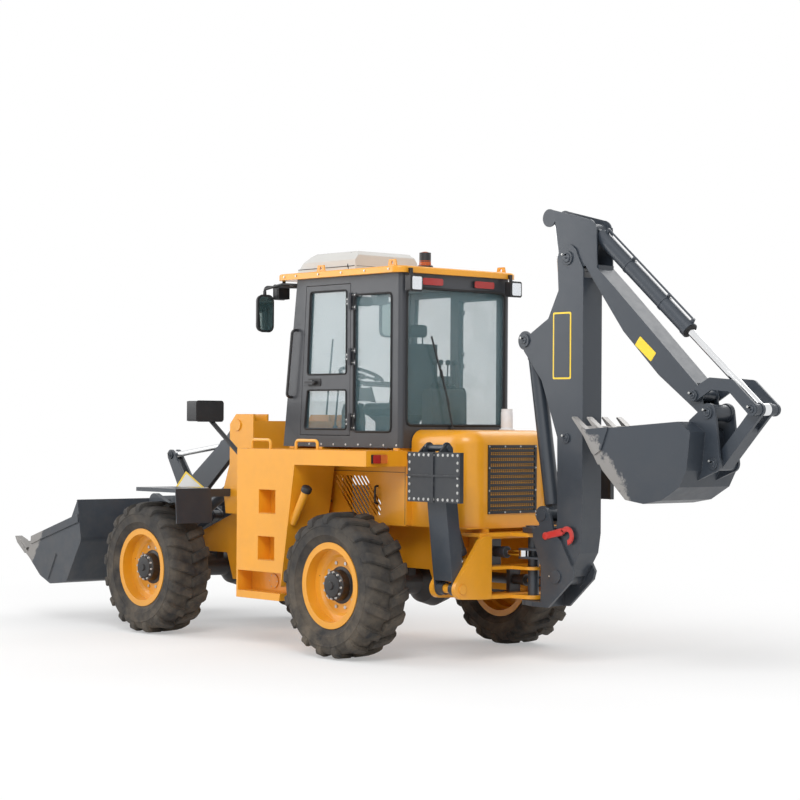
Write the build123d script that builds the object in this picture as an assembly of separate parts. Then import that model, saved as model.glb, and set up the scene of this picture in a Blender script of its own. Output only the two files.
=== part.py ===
from build123d import *

# Articulated backhoe loader: a loader on the front half, a cab and engine on the rear half, a digging arm behind.
#
# Machine frame while it is built: X forward from the rear axle, Y left, Z up from the ground, in millimetres.
# At the end every piece moves by the same step, so that the origin lies under the middle of the whole machine.
import os
from math import acos, asin, atan2, cos, degrees, hypot, pi, sin, sqrt

# ---------------------------------------------------------------- running gaps and common thicknesses
fit_gap = 0.3           # a pin in its bore, a tyre on its rim
side_gap = 0.8          # an eye between its two ears
ear_rim = 12            # an ear's edge beyond its eye
plate_t = 20            # frame plate
cover_t = 8             # cab and engine cover sheet

# ---------------------------------------------------------------- wheels and axles
wheelbase = 2650
tyre_radius = 587.5
tyre_half_width = 200
track_half = 940        # the tyre's middle plane from the machine's middle
rim_radius = 305        # bead seat
rim_flange_radius = 347
rim_half_width = 166
disc_offset = 20        # the rim's disc, outward from the tyre's middle plane
hub_radius = 118
lug_count = 17          # lugs on each shoulder
lug_height = 36
lug_reach = 81          # a lug's farthest corner round the tyre from its middle
lug_width = 88
axle_radius = 95
axle_flange_radius = 150
axle_housing_radius = 215
axle_seat = 705         # height where the frame rests on the axle

# ---------------------------------------------------------------- frames and articulation
hinge_x = wheelbase / 2
hinge_pin_radius = 45
hinge_boss_radius = 105
hinge_plate = 40
hinge_low = 520         # underside of the lower front lug
hinge_high = 860        # underside of the upper front lug
rail_y = 300            # inner face of the frame's side plates
rail_t = 25
frame_low = 470
front_back = 1440       # rear end of the front frame
rear_front = 1150       # front end of the rear frame
rear_top = 1060         # top of the rear frame's side plates

# ---------------------------------------------------------------- loader
arm_pivot = (2020, 1867)
arm_pin_radius = 38
arm_y = 405             # inner face of each arm
arm_t = 50
tower_space = 40        # between an arm's face and the tower plate beside it
tower_plate = 20
tower_back = 1790
tower_front = 2135
tower_top = 1965
deck_z = 1075
bucket_pivot = (3575, 515)
bucket_pin_radius = 36
bucket_ear = 22
bucket_half_width = 1160
bucket_wall = 16
link_pin = (3472, 822)      # link on the bucket
rocker_pivot = (3403, 1138)
rocker_low = (3037, 1016)   # rocker to link
rocker_top = (3712, 1570)   # rocker to tilt cylinder
cross_tube_radius = 55
tilt_base = (1907, 1802)
tilt_travel = 725
tilt_bore, tilt_rod = 50, 27
tilt_eye, tilt_pin = 42, 24
lift_base = (1985, 1440)
lift_eye = (2930, 905)
lift_travel = 70
lift_bore, lift_rod = 50, 24
lift_ring, lift_pin = 48, 26
lift_lug_gap = 60           # a lug's inner face from the arm's middle plane
loader_teeth = 8

# ---------------------------------------------------------------- digging arm
swing_x = -1200
swing_pin_radius = 45
swing_reach = 110           # swing cylinders' eyes from the swing pin
swing_levels = (872, 641)   # left cylinder above, right cylinder below
swing_bore, swing_rod = 42, 22
swing_ring, swing_pin = 38, 20
boom_foot = (-1575, 711)
boom_top = (-1657, 3177)
boom_half = 105
boom_plate = 12
post_plate = 24
boom_base = (-1420, 1183)        # boom cylinder on the swing post
boom_eye = (-1194, 2550)         # boom cylinder on the boom
dipper_base = (-1652, 1785)      # dipper cylinder in the boom
dipper_eye = (-1442, 3502)       # dipper cylinder on the dipper
curl_base = (-1860, 3385)        # bucket cylinder on the dipper
guide_pin = (-2955, 2105)        # guide links on the dipper
hoe_pivot = (-3075, 1980)        # digging bucket on the dipper
curl_eye = (-3495, 2003)         # bucket cylinder, guide links and push link meet
push_pin = (-3130, 1612)         # push link on the digging bucket
hoe_half = 280
hoe_teeth = 4
hoe_wall = 14
hoe_ear = 20
boom_bore, boom_rod = 62, 34
dipper_bore, dipper_rod = 58, 32
curl_bore, curl_rod = 58, 30
dipper_travel = 615
curl_travel = 815

# ---------------------------------------------------------------- stabilisers
leg_x = -900
leg_width = 215
leg_depth = 120
leg_wall = 12
leg_foot = (630, 600)       # leg pivot in (y, z)
leg_top = (760, 1700)       # pad pivot in (y, z)
leg_base = (712, 1390)      # stabiliser cylinder in the leg, (y, z)
leg_eye = (470, 784)        # stabiliser cylinder on the frame, (y, z)
leg_bore, leg_rod = 42, 24
pad_x = -960
pad_length = 600
pad_drop = 420              # from the pad's pivot to its far edge
pad_offset = 101            # from the pad's pivot to its sole
pad_t = 12

# ---------------------------------------------------------------- engine cover, platforms, cab
hood_back = -950
hood_front = 690
hood_step = -300            # where the tall part ends
hood_half = 500
hood_low_half = 560
hood_top = 1840
hood_step_top = 1600
hood_seat = 1070
panel_x = -1020
panel_half = 420
deck_top = 1670
deck_edge = 125
deck_out = 1050
deck_in = 620
loop_reach = 75             # height of a grab loop above the platform
deck_back = -380
deck_front = 1310
tank_low = 412
cab_low = 1690
cab_high = 3110
cab_half = 612
cab_back = -290
cab_front_low = 1233
cab_front_high = 1056
cab_wall = 46
pane = 6
door_gap = 5
door_t = 40
door_ring = 58
door_hinge = (335, cab_half + 18)
door_knuckle = 16
roof_top = 3165
roof_back = -330
roof_front = 1290
roof_half = cab_half + 60
lamp_x, lamp_y, lamp_z = 1670, 940, 1900    # inner rear low corner of a headlight
lamp_size = (140, 280, 170)
lifting_eye_radius = 15
lifting_eye_x = (-180, 736)
slot_width, slot_step = 24, 46   # openings in the engine cover's sides
slot_edges = (8, 585)

low_end = (Align.CENTER, Align.CENTER, Align.MIN)


# ---------------------------------------------------------------- shapes
def outline(points, radius=0):
    """A flat face round (u, v) points, with rounded corners."""
    face = make_face(Polyline(*points, close=True))
    return fillet(face.vertices(), radius) if radius else face


def from_side(face, y_from, y_to):
    """A flat (x, z) face made a plate from one y to another."""
    return extrude(Plane((0, y_from, 0), (1, 0, 0), (0, -1, 0)) * face, y_to - y_from, (0, 1, 0))


def side_plate(points, y_from, y_to, radius=0):
    """A plate seen from the side: (x, z) points, from one y to another."""
    return from_side(outline(points, radius), y_from, y_to)


def flat_plate(points, z_from, z_to, radius=0):
    """A plate seen from above: (x, y) points, from one z to another."""
    return extrude(Pos(0, 0, z_from) * outline(points, radius), z_to - z_from, (0, 0, 1))


def from_behind(face, x_from, x_to):
    """A flat (y, z) face made a plate from one x to another."""
    return extrude(Plane((x_from, 0, 0), (0, 1, 0), (1, 0, 0)) * face, x_to - x_from, (1, 0, 0))


def cross_plate(points, x_from, x_to, radius=0):
    """A plate seen from behind: (y, z) points, from one x to another."""
    return from_behind(outline(points, radius), x_from, x_to)


def box(x_from, x_to, y_from, y_to, z_from, z_to):
    size = (abs(x_to - x_from), abs(y_to - y_from), abs(z_to - z_from))
    return Pos((x_from + x_to) / 2, (y_from + y_to) / 2, (z_from + z_to) / 2) * Box(*size)


def pin(place, radius, y_from, y_to):
    """A round bar along Y at an (x, z) place."""
    return Pos(place[0], (y_from + y_to) / 2, place[1]) * Rot(90, 0, 0) * Cylinder(radius, abs(y_to - y_from))


def long_pin(place, radius, x_from, x_to):
    """A round bar along X at a (y, z) place."""
    return Pos((x_from + x_to) / 2, place[0], place[1]) * Rot(0, 90, 0) * Cylinder(radius, abs(x_to - x_from))


def post(x, y, radius, z_from, z_to):
    """A round bar along Z."""
    return Pos(x, y, (z_from + z_to) / 2) * Cylinder(radius, abs(z_to - z_from))


def bar(start, end, radius):
    """A round bar between two points in space."""
    start, end = Vector(*start), Vector(*end)
    return Plane(start, z_dir=end - start) * Cylinder(radius, (end - start).length, align=low_end)


def headed_pin(place, radius, y_low, y_high, head=12):
    """A pin with a flat head at both ends, outside its ears."""
    heads = pin(place, radius + 14, y_low - head, y_low) + pin(place, radius + 14, y_high, y_high + head)
    return pin(place, radius, y_low - head, y_high + head) + heads


def web_face(first, second):
    """The face that wraps round two circles of (u, v, radius)."""
    (u1, v1, r1), (u2, v2, r2) = first, second
    length = hypot(u2 - u1, v2 - v1)
    along = ((u2 - u1) / length, (v2 - v1) / length)
    turn = acos((r1 - r2) / length)
    corners = []
    for (u, v, r), sign in ((first, 1), (second, 1), (second, -1), (first, -1)):
        nu = cos(turn) * along[0] - sign * sin(turn) * along[1]
        nv = cos(turn) * along[1] + sign * sin(turn) * along[0]
        corners.append((u + r * nu, v + r * nv))
    return make_face(Polyline(*corners, close=True)) + Pos(u1, v1) * Circle(r1) + Pos(u2, v2) * Circle(r2)


def chain(circles):
    """A face whose edge wraps round each circle of (u, v, radius) and the next."""
    face = web_face(circles[0], circles[1])
    for first, second in zip(circles[1:], circles[2:]):
        face = face + web_face(first, second)
    return face


def web(circles, y_from, y_to):
    return from_side(chain(circles), y_from, y_to)


def both_sides(solid):
    """A solid and its mirror image on the other side."""
    return solid + mirror(solid, Plane.XZ)


def hydraulic(base, eye, cross, bore, rod, travel, base_width, rod_width, ring, pin_radius):
    """A cylinder's barrel and its rod, between the pin at base and the rod's open eye.

    cross is the pins' direction, bore the barrel's outer radius, ring the eyes' outer radius, and travel how
    far the rod goes in from this pose.
    """
    span = Vector(*eye) - Vector(*base)
    length, axis, cross = span.length, span.normalized(), Vector(*cross)
    place = Plane(Vector(*base), x_dir=cross.cross(axis), z_dir=axis)
    foot, inner, gland, cap, piston = ring + 22, bore * 0.84, 45, 14, 40
    mouth = length - travel - ring - ear_rim - 26
    turn = Rot(90, 0, 0)
    tube = turn * Cylinder(ring, base_width) + Box(ring * 1.5, base_width * 0.8, foot + 1, align=low_end)
    tube += Pos(0, 0, foot) * Cylinder(bore, mouth - foot, align=low_end)
    tube += Pos(0, 0, mouth - gland) * Cylinder(bore + 5, gland, align=low_end)
    tube -= turn * Cylinder(pin_radius + fit_gap, base_width + 2)
    tube -= Pos(0, 0, foot + cap) * Cylinder(inner, mouth - gland - foot - cap, align=low_end)
    tube -= Pos(0, 0, mouth - gland - 1) * Cylinder(rod + fit_gap, gland + 2, align=low_end)
    start = foot + cap + 4 + travel
    shaft = Pos(0, 0, start) * Cylinder(rod, length - start, align=low_end)
    shaft += Pos(0, 0, start) * Cylinder(inner - fit_gap, piston, align=low_end)
    shaft += Pos(0, 0, length) * turn * Cylinder(ring, rod_width)
    shaft -= Pos(0, 0, length) * turn * Cylinder(pin_radius + fit_gap, rod_width + 2 * rod)
    return place * tube, place * shaft


def at_y(place, y=0):
    """A point in space from an (x, z) place."""
    return place[0], y, place[1]


# ---------------------------------------------------------------- wheels
def tyre():
    """A tyre about the X axis with its outer side at +X: a faceted carcass and two rows of slanting lugs."""
    root, half, seat = tyre_radius - lug_height, tyre_half_width, rim_half_width - 12
    profile = [(-seat, rim_radius + fit_gap), (-seat, rim_flange_radius + 6), (-half, 440), (-half + 16, root - 30),
               (-half + 64, root), (half - 64, root), (half - 16, root - 30), (half, 440),
               (seat, rim_flange_radius + 6), (seat, rim_radius + fit_gap)]
    turn = pi / lug_count
    far = 2 * tyre_radius
    slice_of = outline([(0, 0), (-far * sin(turn), far * cos(turn)), (far * sin(turn), far * cos(turn))])
    section = extrude(Plane((0, -far, 0), (1, 0, 0), (0, -1, 0)) * outline(profile), 2 * far, (0, 1, 0))
    facet = section & extrude(Plane((-far, 0, 0), (0, 1, 0), (1, 0, 0)) * slice_of, 2 * far, (1, 0, 0))
    # a lug's corners lie on the tyre's full radius, and one of them touches the ground
    level = sqrt(tyre_radius ** 2 - lug_reach ** 2)
    crown = [(-5, root - 24), (-5, level), (half + 4, level - 16), (half, root - 60)]
    blank = extrude(Plane((0, -far, 0), (1, 0, 0), (0, -1, 0)) * outline(crown), 2 * far, (0, 1, 0))
    slant = [(half + 4, -lug_reach), (half + 4, lug_width - lug_reach), (-5, lug_reach), (-5, lug_reach - lug_width)]
    lug = blank & extrude(outline(slant), far, (0, 0, 1))
    other = mirror(lug, Plane.YZ)
    step = 360 / lug_count
    first = 180 + degrees(asin(lug_reach / tyre_radius))
    carcass = facet.fuse(*[Rot(step * turn, 0, 0) * facet for turn in range(1, lug_count)])
    lugs = [Rot(first + step * turn, 0, 0) * lug for turn in range(lug_count)]
    lugs += [Rot(first + step * (turn + 0.5), 0, 0) * other for turn in range(lug_count)]
    return carcass.fuse(*lugs)


def rim():
    """A drop-centre rim with a dished disc and its planetary hub, about the X axis, outer side at +X."""
    lip, seat, wall = rim_flange_radius, rim_radius, 10
    half, disc, hub = rim_half_width, disc_offset, hub_radius
    bead = half - 12 + fit_gap
    section = [(-half, lip), (-bead, lip), (-bead, seat), (-60, seat), (-50, seat - 22), (50, seat - 22), (60, seat),
               (bead, seat), (bead, lip), (half, lip), (half, seat - wall), (70, seat - wall), (60, seat - 60),
               (disc + 22, seat - 80), (disc + 22, hub), (disc + 95, hub - 4), (disc + 108, hub - 26),
               (disc + 108, 30), (disc + 122, 28), (disc + 122, 0), (disc - 30, 0), (disc - 30, 180),
               (disc + 4, 190), (disc + 4, seat - 76), (30, seat - 32), (-58, seat - 32), (-68, seat - wall),
               (-half, seat - wall)]
    return revolve(outline(section), Axis.X)


def wheel_place(x, side):
    """Turns a wheel about the X axis to stand at an axle's end, its outer side away from the machine."""
    return Pos(x, side * track_half, tyre_radius) * Rot(0, 0, 90 * side)


def axle(x):
    """A driven axle: a tapered beam, the gear housing, a flange for each hub and a pad for each frame plate."""
    half = track_half + disc_offset - 30
    beam = [(0, 0), (0, axle_housing_radius), (120, 180), (190, axle_radius + 12), (half - 190, axle_radius),
            (half - 170, axle_flange_radius), (half - 120, axle_flange_radius), (half - 110, 105), (half, 105), (half, 0)]
    part = revolve(outline(beam), Axis.X)
    part = Rot(0, 0, 90) * (part + mirror(part, Plane.YZ))
    nose = Rot(0, 90, 0) * Cone(130, 70, 330, align=low_end)
    part += nose if x < hinge_x else mirror(nose, Plane.YZ)
    part += both_sides(box(-90, 90, rail_y - 40, rail_y + rail_t + 10, 0, axle_seat - tyre_radius))
    return Pos(x, 0, tyre_radius) * part


# ---------------------------------------------------------------- front half
tower_inner = arm_y - tower_space               # outer face of the inner tower plate
tower_outer = arm_y + arm_t + tower_space       # inner face of the outer tower plate
tower_edge = tower_outer + tower_plate


def front_frame():
    side = [(front_back, frame_low + 40), (1640, frame_low), (2330, frame_low), (2420, axle_seat), (2880, axle_seat),
            (2880, 860), (2300, deck_z), (1640, deck_z), (front_back, 920)]
    frame = both_sides(side_plate(side, rail_y, rail_y + rail_t))
    frame += box(front_back, front_back + plate_t, -rail_y, rail_y, frame_low + 40, 920)
    frame += box(2860, 2880, -rail_y, rail_y, axle_seat, 755)
    frame += box(1640, 2330, -rail_y, rail_y, frame_low, frame_low + 12)
    frame += box(1700, 2190, -tower_edge, tower_edge, deck_z, deck_z + plate_t)
    tower = [(tower_back, deck_z), (tower_back, tower_top), (tower_front - 90, tower_top),
             (tower_front, tower_top - 90), (tower_front, 1520), (2225, 1290), (2190, deck_z)]
    for y in (tower_inner - tower_plate, tower_outer):
        frame += both_sides(side_plate(tower, y, y + tower_plate))
    frame += box(tower_back, tower_back + plate_t, -tower_edge, tower_edge, deck_z, tower_top - 60)
    for level in (hinge_low, hinge_high):
        lug = flat_plate([(hinge_x, -hinge_boss_radius), (front_back, -rail_y), (front_back, rail_y),
                          (hinge_x, hinge_boss_radius)], level, level + hinge_plate)
        lug += post(hinge_x, 0, hinge_boss_radius, level, level + hinge_plate)
        frame += lug - post(hinge_x, 0, hinge_pin_radius + fit_gap, level - 2, level + hinge_plate + 2)
    for sign in (1, -1):
        low, high = sorted((sign * (tower_inner - tower_plate), sign * tower_edge))
        frame += headed_pin(arm_pivot, arm_pin_radius, low, high)
        frame += headed_pin(lift_base, lift_pin, low, high)
    tilt_half = tilt_ring_width / 2 + side_gap
    ear = side_plate([(tower_back, 1690), (tilt_base[0], tilt_base[1] - 52), (tilt_base[0], tilt_base[1] + 52),
                      (tower_back, 1900)], tilt_half, tilt_half + 25)
    ear += pin(tilt_base, 52, tilt_half, tilt_half + 25)
    frame += both_sides(ear) + headed_pin(tilt_base, tilt_pin, -tilt_half - 25, tilt_half + 25)
    return frame


def front_fenders():
    """A flat top over each tyre and a mudguard behind it, on an arm from the tower."""
    y_in, y_out = track_half - tyre_half_width - 5, track_half + 180
    back, front, under = wheelbase - 540, wheelbase + 70, 2 * tyre_radius + 122
    part = box(back, front, y_in, y_out, under, under + 8) + box(back, front, y_out - 8, y_out, under - 27, under + 8)
    part += side_plate([(back + 290, under + 1), (front, under + 1), (front, under - 27), (back + 310, under - 82)], y_in, y_in + 8)
    part += side_plate([(back - 20, under - 297), (back - 12, under - 297), (back + 8, under + 3), (back, under + 3)], y_in, y_out)
    arm_from, arm_to = sorted((arm_pivot[0] + 100, back + 10))
    part += box(arm_from, arm_to + 50, tower_edge, y_in + 4, under - 70, under)
    return both_sides(part)


def loader_arms():
    """Two deep arms joined by a cross tube that carries the rocker."""
    profile = [(*arm_pivot, 95), (2210, 1690, 95), (2700, 1325, 115), (3150, 975, 135), (3400, 720, 110),
               (*bucket_pivot, 80)]
    face = chain(profile) + chain([(3150, 975, 135), (*rocker_pivot, 80), (3400, 720, 110)])
    arm = from_side(face, arm_y, arm_y + arm_t)
    arm += pin(arm_pivot, 70, tower_inner + side_gap, tower_outer - side_gap)
    # lugs for the lift cylinder stand clear of the barrel, and the arm's lower edge is cut back over it
    lug_t, middle = 22, arm_y + arm_t / 2
    low, high = middle - lift_lug_gap, middle + lift_lug_gap
    for y_from, y_to, foot in ((low - lug_t, low, arm_y), (high, high + lug_t, arm_y + arm_t)):
        arm += web([(*lift_eye, lift_ring + ear_rim), (2975, 1065, 72)], y_from, y_to)
        arm += pin((2980, 1085), 50, *sorted((foot, y_to if foot > middle else y_from)))
    along = ((lift_base[0] - lift_eye[0]) / 1086, (lift_base[1] - lift_eye[1]) / 1086)
    over = (lift_eye[0] + 23, lift_eye[1] + 46)
    arm -= web([(*over, lift_ring + ear_rim + 2), (over[0] + 330 * along[0], over[1] + 330 * along[1], lift_bore + 16)],
               arm_y - 1, arm_y + arm_t + 1)
    arm += pin(lift_eye, lift_pin + 12, low - lug_t - 12, low - lug_t) + pin(lift_eye, lift_pin + 12, high + lug_t, high + lug_t + 12)
    arm -= pin(arm_pivot, arm_pin_radius + fit_gap, tower_inner, tower_outer)
    arm -= pin(bucket_pivot, bucket_pin_radius + fit_gap, arm_y - 1, arm_y + arm_t + 1)
    return both_sides(arm) + pin(rocker_pivot, cross_tube_radius, -arm_y - 5, arm_y + 5)


rocker_inner, rocker_outer = 28, 50             # a rocker cheek's two faces
tilt_ring_width = 2 * (rocker_inner - side_gap)


def rocker():
    """Two bent plates on a hub: the tilt cylinder pushes the top, the link hangs from the other end."""
    part = both_sides(web([(*rocker_top, 54), (*rocker_pivot, 83), (*rocker_low, 50)], rocker_inner, rocker_outer))
    part += pin(rocker_pivot, 90, -rocker_outer - 15, rocker_outer + 15)
    part -= pin(rocker_pivot, cross_tube_radius + fit_gap, -100, 100)
    for y in (-rocker_outer - 12, rocker_outer):
        part += pin(rocker_top, tilt_pin + 12, y, y + 12)
    return part + headed_pin(rocker_low, 26, -rocker_outer, rocker_outer)


def bucket_link():
    width = rocker_inner - 1
    part = web([(*rocker_low, 46), (*link_pin, 44)], -width, width)
    return part - pin(rocker_low, 26 + fit_gap, -30, 30) - pin(link_pin, 26 + fit_gap, -30, 30)


shell_points = [(3624, 1164), (3559, 791), (3810, 387), (4089, 356), (4269, 426), (4500, 612)]


def loader_bucket():
    """A general bucket: folded shell, two side plates with edge strips, ears behind and teeth in front."""
    half, wall = bucket_half_width, bucket_wall
    full = outline(shell_points)
    bends = [corner for corner in full.vertices() if any(hypot(corner.X - x, corner.Y - z) < 1 for x, z in shell_points[1:5])]
    full = fillet(bends, 70)
    (back_x, back_z), (lip_x, lip_z) = shell_points[0], shell_points[-1]
    length = hypot(lip_x - back_x, lip_z - back_z)
    along = ((lip_x - back_x) / length, (lip_z - back_z) / length)
    out = (-along[1], along[0])
    mouth = outline([(back_x + a * along[0] + b * out[0], back_z + a * along[1] + b * out[1])
                     for a, b in ((wall, -wall - 2), (length - 40, -wall - 2), (length - 40, 80), (wall, 80))])
    section = full - offset(full, -wall) - mouth
    body = from_side(section, -half, half)
    below_strip = outline([(3500, 1066), (4420, 790), (4600, 500), (4300, 200), (3400, 200)])
    cheek = (full & below_strip) + outline([(3900, 940), (4420, 790), (4500, 612), (4200, 560)])
    cheek = cheek + outline([(3606, 1030), (3624, 1164), (3730, 990)])
    body += both_sides(from_side(cheek, half - 20, half))
    body += both_sides(side_plate([(3606, 1030), (4420, 790), (4426, 716), (3596, 956)], half, half + 12))
    body += both_sides(bar((3985, half, 640), (4120, half, 400), 11))
    # cutting edge and teeth lie along the floor's front slope
    tip = (4730, 776)
    slope = atan2(tip[1] - 612, tip[0] - 4480)
    run, rise = (cos(slope), sin(slope)), (-sin(slope), cos(slope))

    def on_edge(back, up):
        return tip[0] - back * run[0] + up * rise[0], tip[1] - back * run[1] + up * rise[1]

    body += side_plate([on_edge(330, -16), on_edge(120, -16), on_edge(95, 8), on_edge(330, 14)], -half, half)
    wedge = [on_edge(230, -34), on_edge(60, -30), on_edge(0, -4), on_edge(0, 4), on_edge(110, 34), on_edge(230, 34)]
    for number in range(loader_teeth):
        y = -half + 40 + number * (2 * half - 80) / (loader_teeth - 1)
        body += side_plate(wedge, y - 36, y + 36)
    # ears: one each side of each arm's end, and a pair for the link
    hollow = from_side(offset(full, -wall / 2), -half, half)
    ear = web([(*bucket_pivot, 72), (3740, 700, 80)], 0, bucket_ear) + web([(*bucket_pivot, 72), (3800, 440, 50)], 0, bucket_ear)
    ears = [arm_y - side_gap - bucket_ear, arm_y + arm_t + side_gap]
    for y in ears:
        body += both_sides(Pos(0, y, 0) * ear - hollow)
    for low, high in ((ears[0], ears[1] + bucket_ear), (-ears[1] - bucket_ear, -ears[0])):
        body += headed_pin(bucket_pivot, bucket_pin_radius, low, high)
    ear = web([(*link_pin, 50), (3660, 900, 70)], rocker_inner, rocker_outer) + pin(link_pin, 38, rocker_outer, rocker_outer + 12)
    return body + both_sides(ear - hollow)


# ---------------------------------------------------------------- rear half
def rear_frame():
    side = [(rear_front, 520), (rear_front, rear_top), (panel_x + plate_t, rear_top), (panel_x + plate_t, 524), (-420, 524),
            (-330, axle_seat), (330, axle_seat), (420, 520)]
    frame = both_sides(side_plate(side, rail_y, rail_y + rail_t))
    frame += box(rear_front - plate_t, rear_front, -rail_y, rail_y, 520, rear_top)
    for level, pin_low, pin_high in ((hinge_low + hinge_plate + side_gap, hinge_low - 10, 0),
                                     (hinge_high - hinge_plate - side_gap, 0, hinge_high + hinge_plate + 10)):
        lug = flat_plate([(hinge_x, -hinge_boss_radius), (rear_front - 5, -rail_y), (rear_front - 5, rail_y),
                          (hinge_x, hinge_boss_radius)], level, level + hinge_plate)
        lug += post(hinge_x, 0, hinge_boss_radius, level, level + hinge_plate)
        frame += lug + post(hinge_x, 0, hinge_pin_radius, pin_low or level, pin_high or level + hinge_plate)
    # rear panel with a window for each swing cylinder, and the plates that hold the swing pin
    windows = outline([(-310, 763), (310, 763), (310, 982), (-310, 982)], 40) + outline(
        [(-310, 545), (310, 545), (310, 737), (-310, 737)], 40)
    frame += from_behind(outline([(-panel_half, 524), (panel_half, 524), (panel_half, 1030), (-panel_half, 1030)]) - windows,
                         panel_x, panel_x + plate_t)
    neck = swing_x + 140    # ahead of it the post's plates can stand square to the machine
    nose = [(-820, panel_half), (panel_x, panel_half), (neck, 110), (swing_x, 95), (swing_x, -95), (neck, -110),
            (panel_x, -panel_half), (-820, -panel_half)]
    for low, high in ((510, 540), (740, 765), (1000, 1030)):
        level = flat_plate(nose, low, high) + post(swing_x, 0, 95, low, high)
        frame += level - post(swing_x, 0, swing_pin_radius + fit_gap, low - 1, high + 1)
    # ears for the legs, and for their cylinders
    foot = [(*leg_foot, 78)]
    half = leg_width / 2 + side_gap
    for x_from, x_to in ((leg_x - half - 40, leg_x - half), (leg_x + half, leg_x + half + 40)):
        ear = from_behind(chain([(360, 620, 110), (360, 900, 110), *foot]) + chain([(360, 620, 110), *foot]), x_from, x_to)
        ear &= box(-3000, 0, rail_y + rail_t / 2, 900, 510, 1030)
        frame += both_sides(ear)
    for sign in (1, -1):
        place = (sign * leg_foot[0], leg_foot[1])
        frame += long_pin(place, 38, leg_x - half - 52, leg_x + half + 52)
    eye_half = leg_rod + 1 + side_gap
    for x in (leg_x - eye_half - 18, leg_x + eye_half):
        ear = from_behind(chain([(340, 720, 90), (*leg_eye, 50)]), x, x + 18)
        frame += both_sides(ear & box(-3000, 0, rail_y + rail_t / 2, 900, 400, 1060))
    for x in (leg_x - eye_half - 28, leg_x + eye_half + 18):
        frame += both_sides(long_pin(leg_eye, 30, x, x + 10))
    # base of the engine cover, and the frame under the cab
    frame += flat_plate([(hood_back - 10, -hood_half), (hood_step, -hood_half), (hood_step, -hood_low_half),
                         (hood_front, -hood_low_half), (hood_front, hood_low_half), (hood_step, hood_low_half),
                         (hood_step, hood_half), (hood_back - 10, hood_half)], rear_top, hood_seat)
    for x in (700, 1080):
        frame += box(x, x + 60, -deck_in, deck_in, cab_low - 90, cab_low)
        frame += both_sides(box(x, x + 60, rail_y - 20, rail_y + rail_t + 15, rear_top - 60, cab_low - 90))
    frame += both_sides(box(cab_back + 20, 1140, rail_y - 20, rail_y + rail_t + 15, cab_low - 50, cab_low))
    frame += box(cab_back + 20, cab_back + 80, -deck_in, deck_in, cab_low - 50, cab_low)
    return frame


def swing_post():
    inner = boom_half + side_gap
    face = outline([(-1620, 985), (-1540, 1060), (-1500, 1200), (-1360, 1200), (-1390, 1105), (-1345, 1076), (-1320, 1036),
                    (-1326, 999), (-1407, 778), (-1410, 464), (-1487, 464), (-1743, 689), (-1764, 755)])
    face = face + Pos(*boom_base) * Circle(70) + Pos(*boom_foot) * Circle(85)
    part = both_sides(from_side(face, inner, inner + post_plate))
    edge = inner + post_plate
    for low, high in ((1036, 1076), (464, 504)):
        part += flat_plate([(-1425, -edge), (-1310, -edge), (swing_x, -90), (swing_x, 90), (-1310, edge), (-1425, edge)],
                           low, high) + post(swing_x, 0, 90, low, high)
    part += box(-1425, -1407, -edge, edge, 464, 778)
    part += side_plate([(-1425, 778), (-1407, 778), (-1320, 990), (-1320, 1040), (-1338, 1040), (-1338, 990)], -edge, edge)
    part += post(swing_x, 0, swing_pin_radius, 464, 1076)
    part += post(swing_x, 0, swing_pin_radius + 20, 1076, 1088)
    # an ear above and below each swing cylinder's eye
    eye_half = swing_rod + 2 + side_gap
    for sign, level in zip((1, -1), swing_levels):
        ear = chain([(-1395, sign * 75, 45), (swing_x, sign * swing_reach, swing_ring + 4)])
        for low in (level - eye_half - 16, level + eye_half):
            part += extrude(Pos(0, 0, low) * ear, 16, (0, 0, 1))
    part += headed_pin(boom_foot, 38, -edge, edge)
    boss = boom_ring_width / 2 + side_gap
    part += both_sides(pin(boom_base, 58, boss, inner))
    return part + headed_pin(boom_base, 30, -edge, edge)


boom_ring_width, dipper_ring_width, curl_ring_width = 90, 70, 72


def boom():
    """Two side plates joined by a back plate, a front cover and spacers."""
    inner = boom_half - boom_plate
    points = [(-1545, 3200), (-1560, 2930), (-1450, 2715), (-1250, 2600), (-1180, 2470), (-1380, 2235), (-1555, 1790),
              (-1560, 1150), (-1495, 711), (-1670, 700), (-1800, 900), (-1825, 1050), (-1825, 3080), (-1760, 3200)]
    face = outline(points) + Pos(*boom_top) * Circle(105) + Pos(*boom_eye) * Circle(75) + Pos(*boom_foot) * Circle(95)
    part = both_sides(from_side(face, inner, boom_half))
    rear = [(-1813, 3020), (-1825, 3020), (-1825, 1050), (-1800, 900), (-1680, 712), (-1668, 720), (-1788, 905), (-1813, 1052)]
    part += side_plate(rear, -inner - 2, inner + 2)
    front = [(-1431, 2105), (-1555, 1790), (-1560, 1150), (-1500, 745), (-1512, 743), (-1572, 1150), (-1567, 1792), (-1442, 2110)]
    part += side_plate(front, -inner - 2, inner + 2)
    part += pin(boom_foot, 72, -boom_half, boom_half) - pin(boom_foot, 38 + fit_gap, -200, 200)
    part -= pin(boom_foot, 38 + fit_gap, -200, 200)
    for place, ring, width in ((boom_eye, 50, boom_ring_width), (dipper_base, 48, dipper_ring_width)):
        part += both_sides(pin(place, ring, width / 2 + side_gap, inner))
    part += both_sides(pin(boom_eye, 52, boom_half, boom_half + 12))
    part += headed_pin(dipper_base, 26, -boom_half, boom_half)
    return part + headed_pin(boom_top, 40, -boom_half, boom_half)


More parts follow.
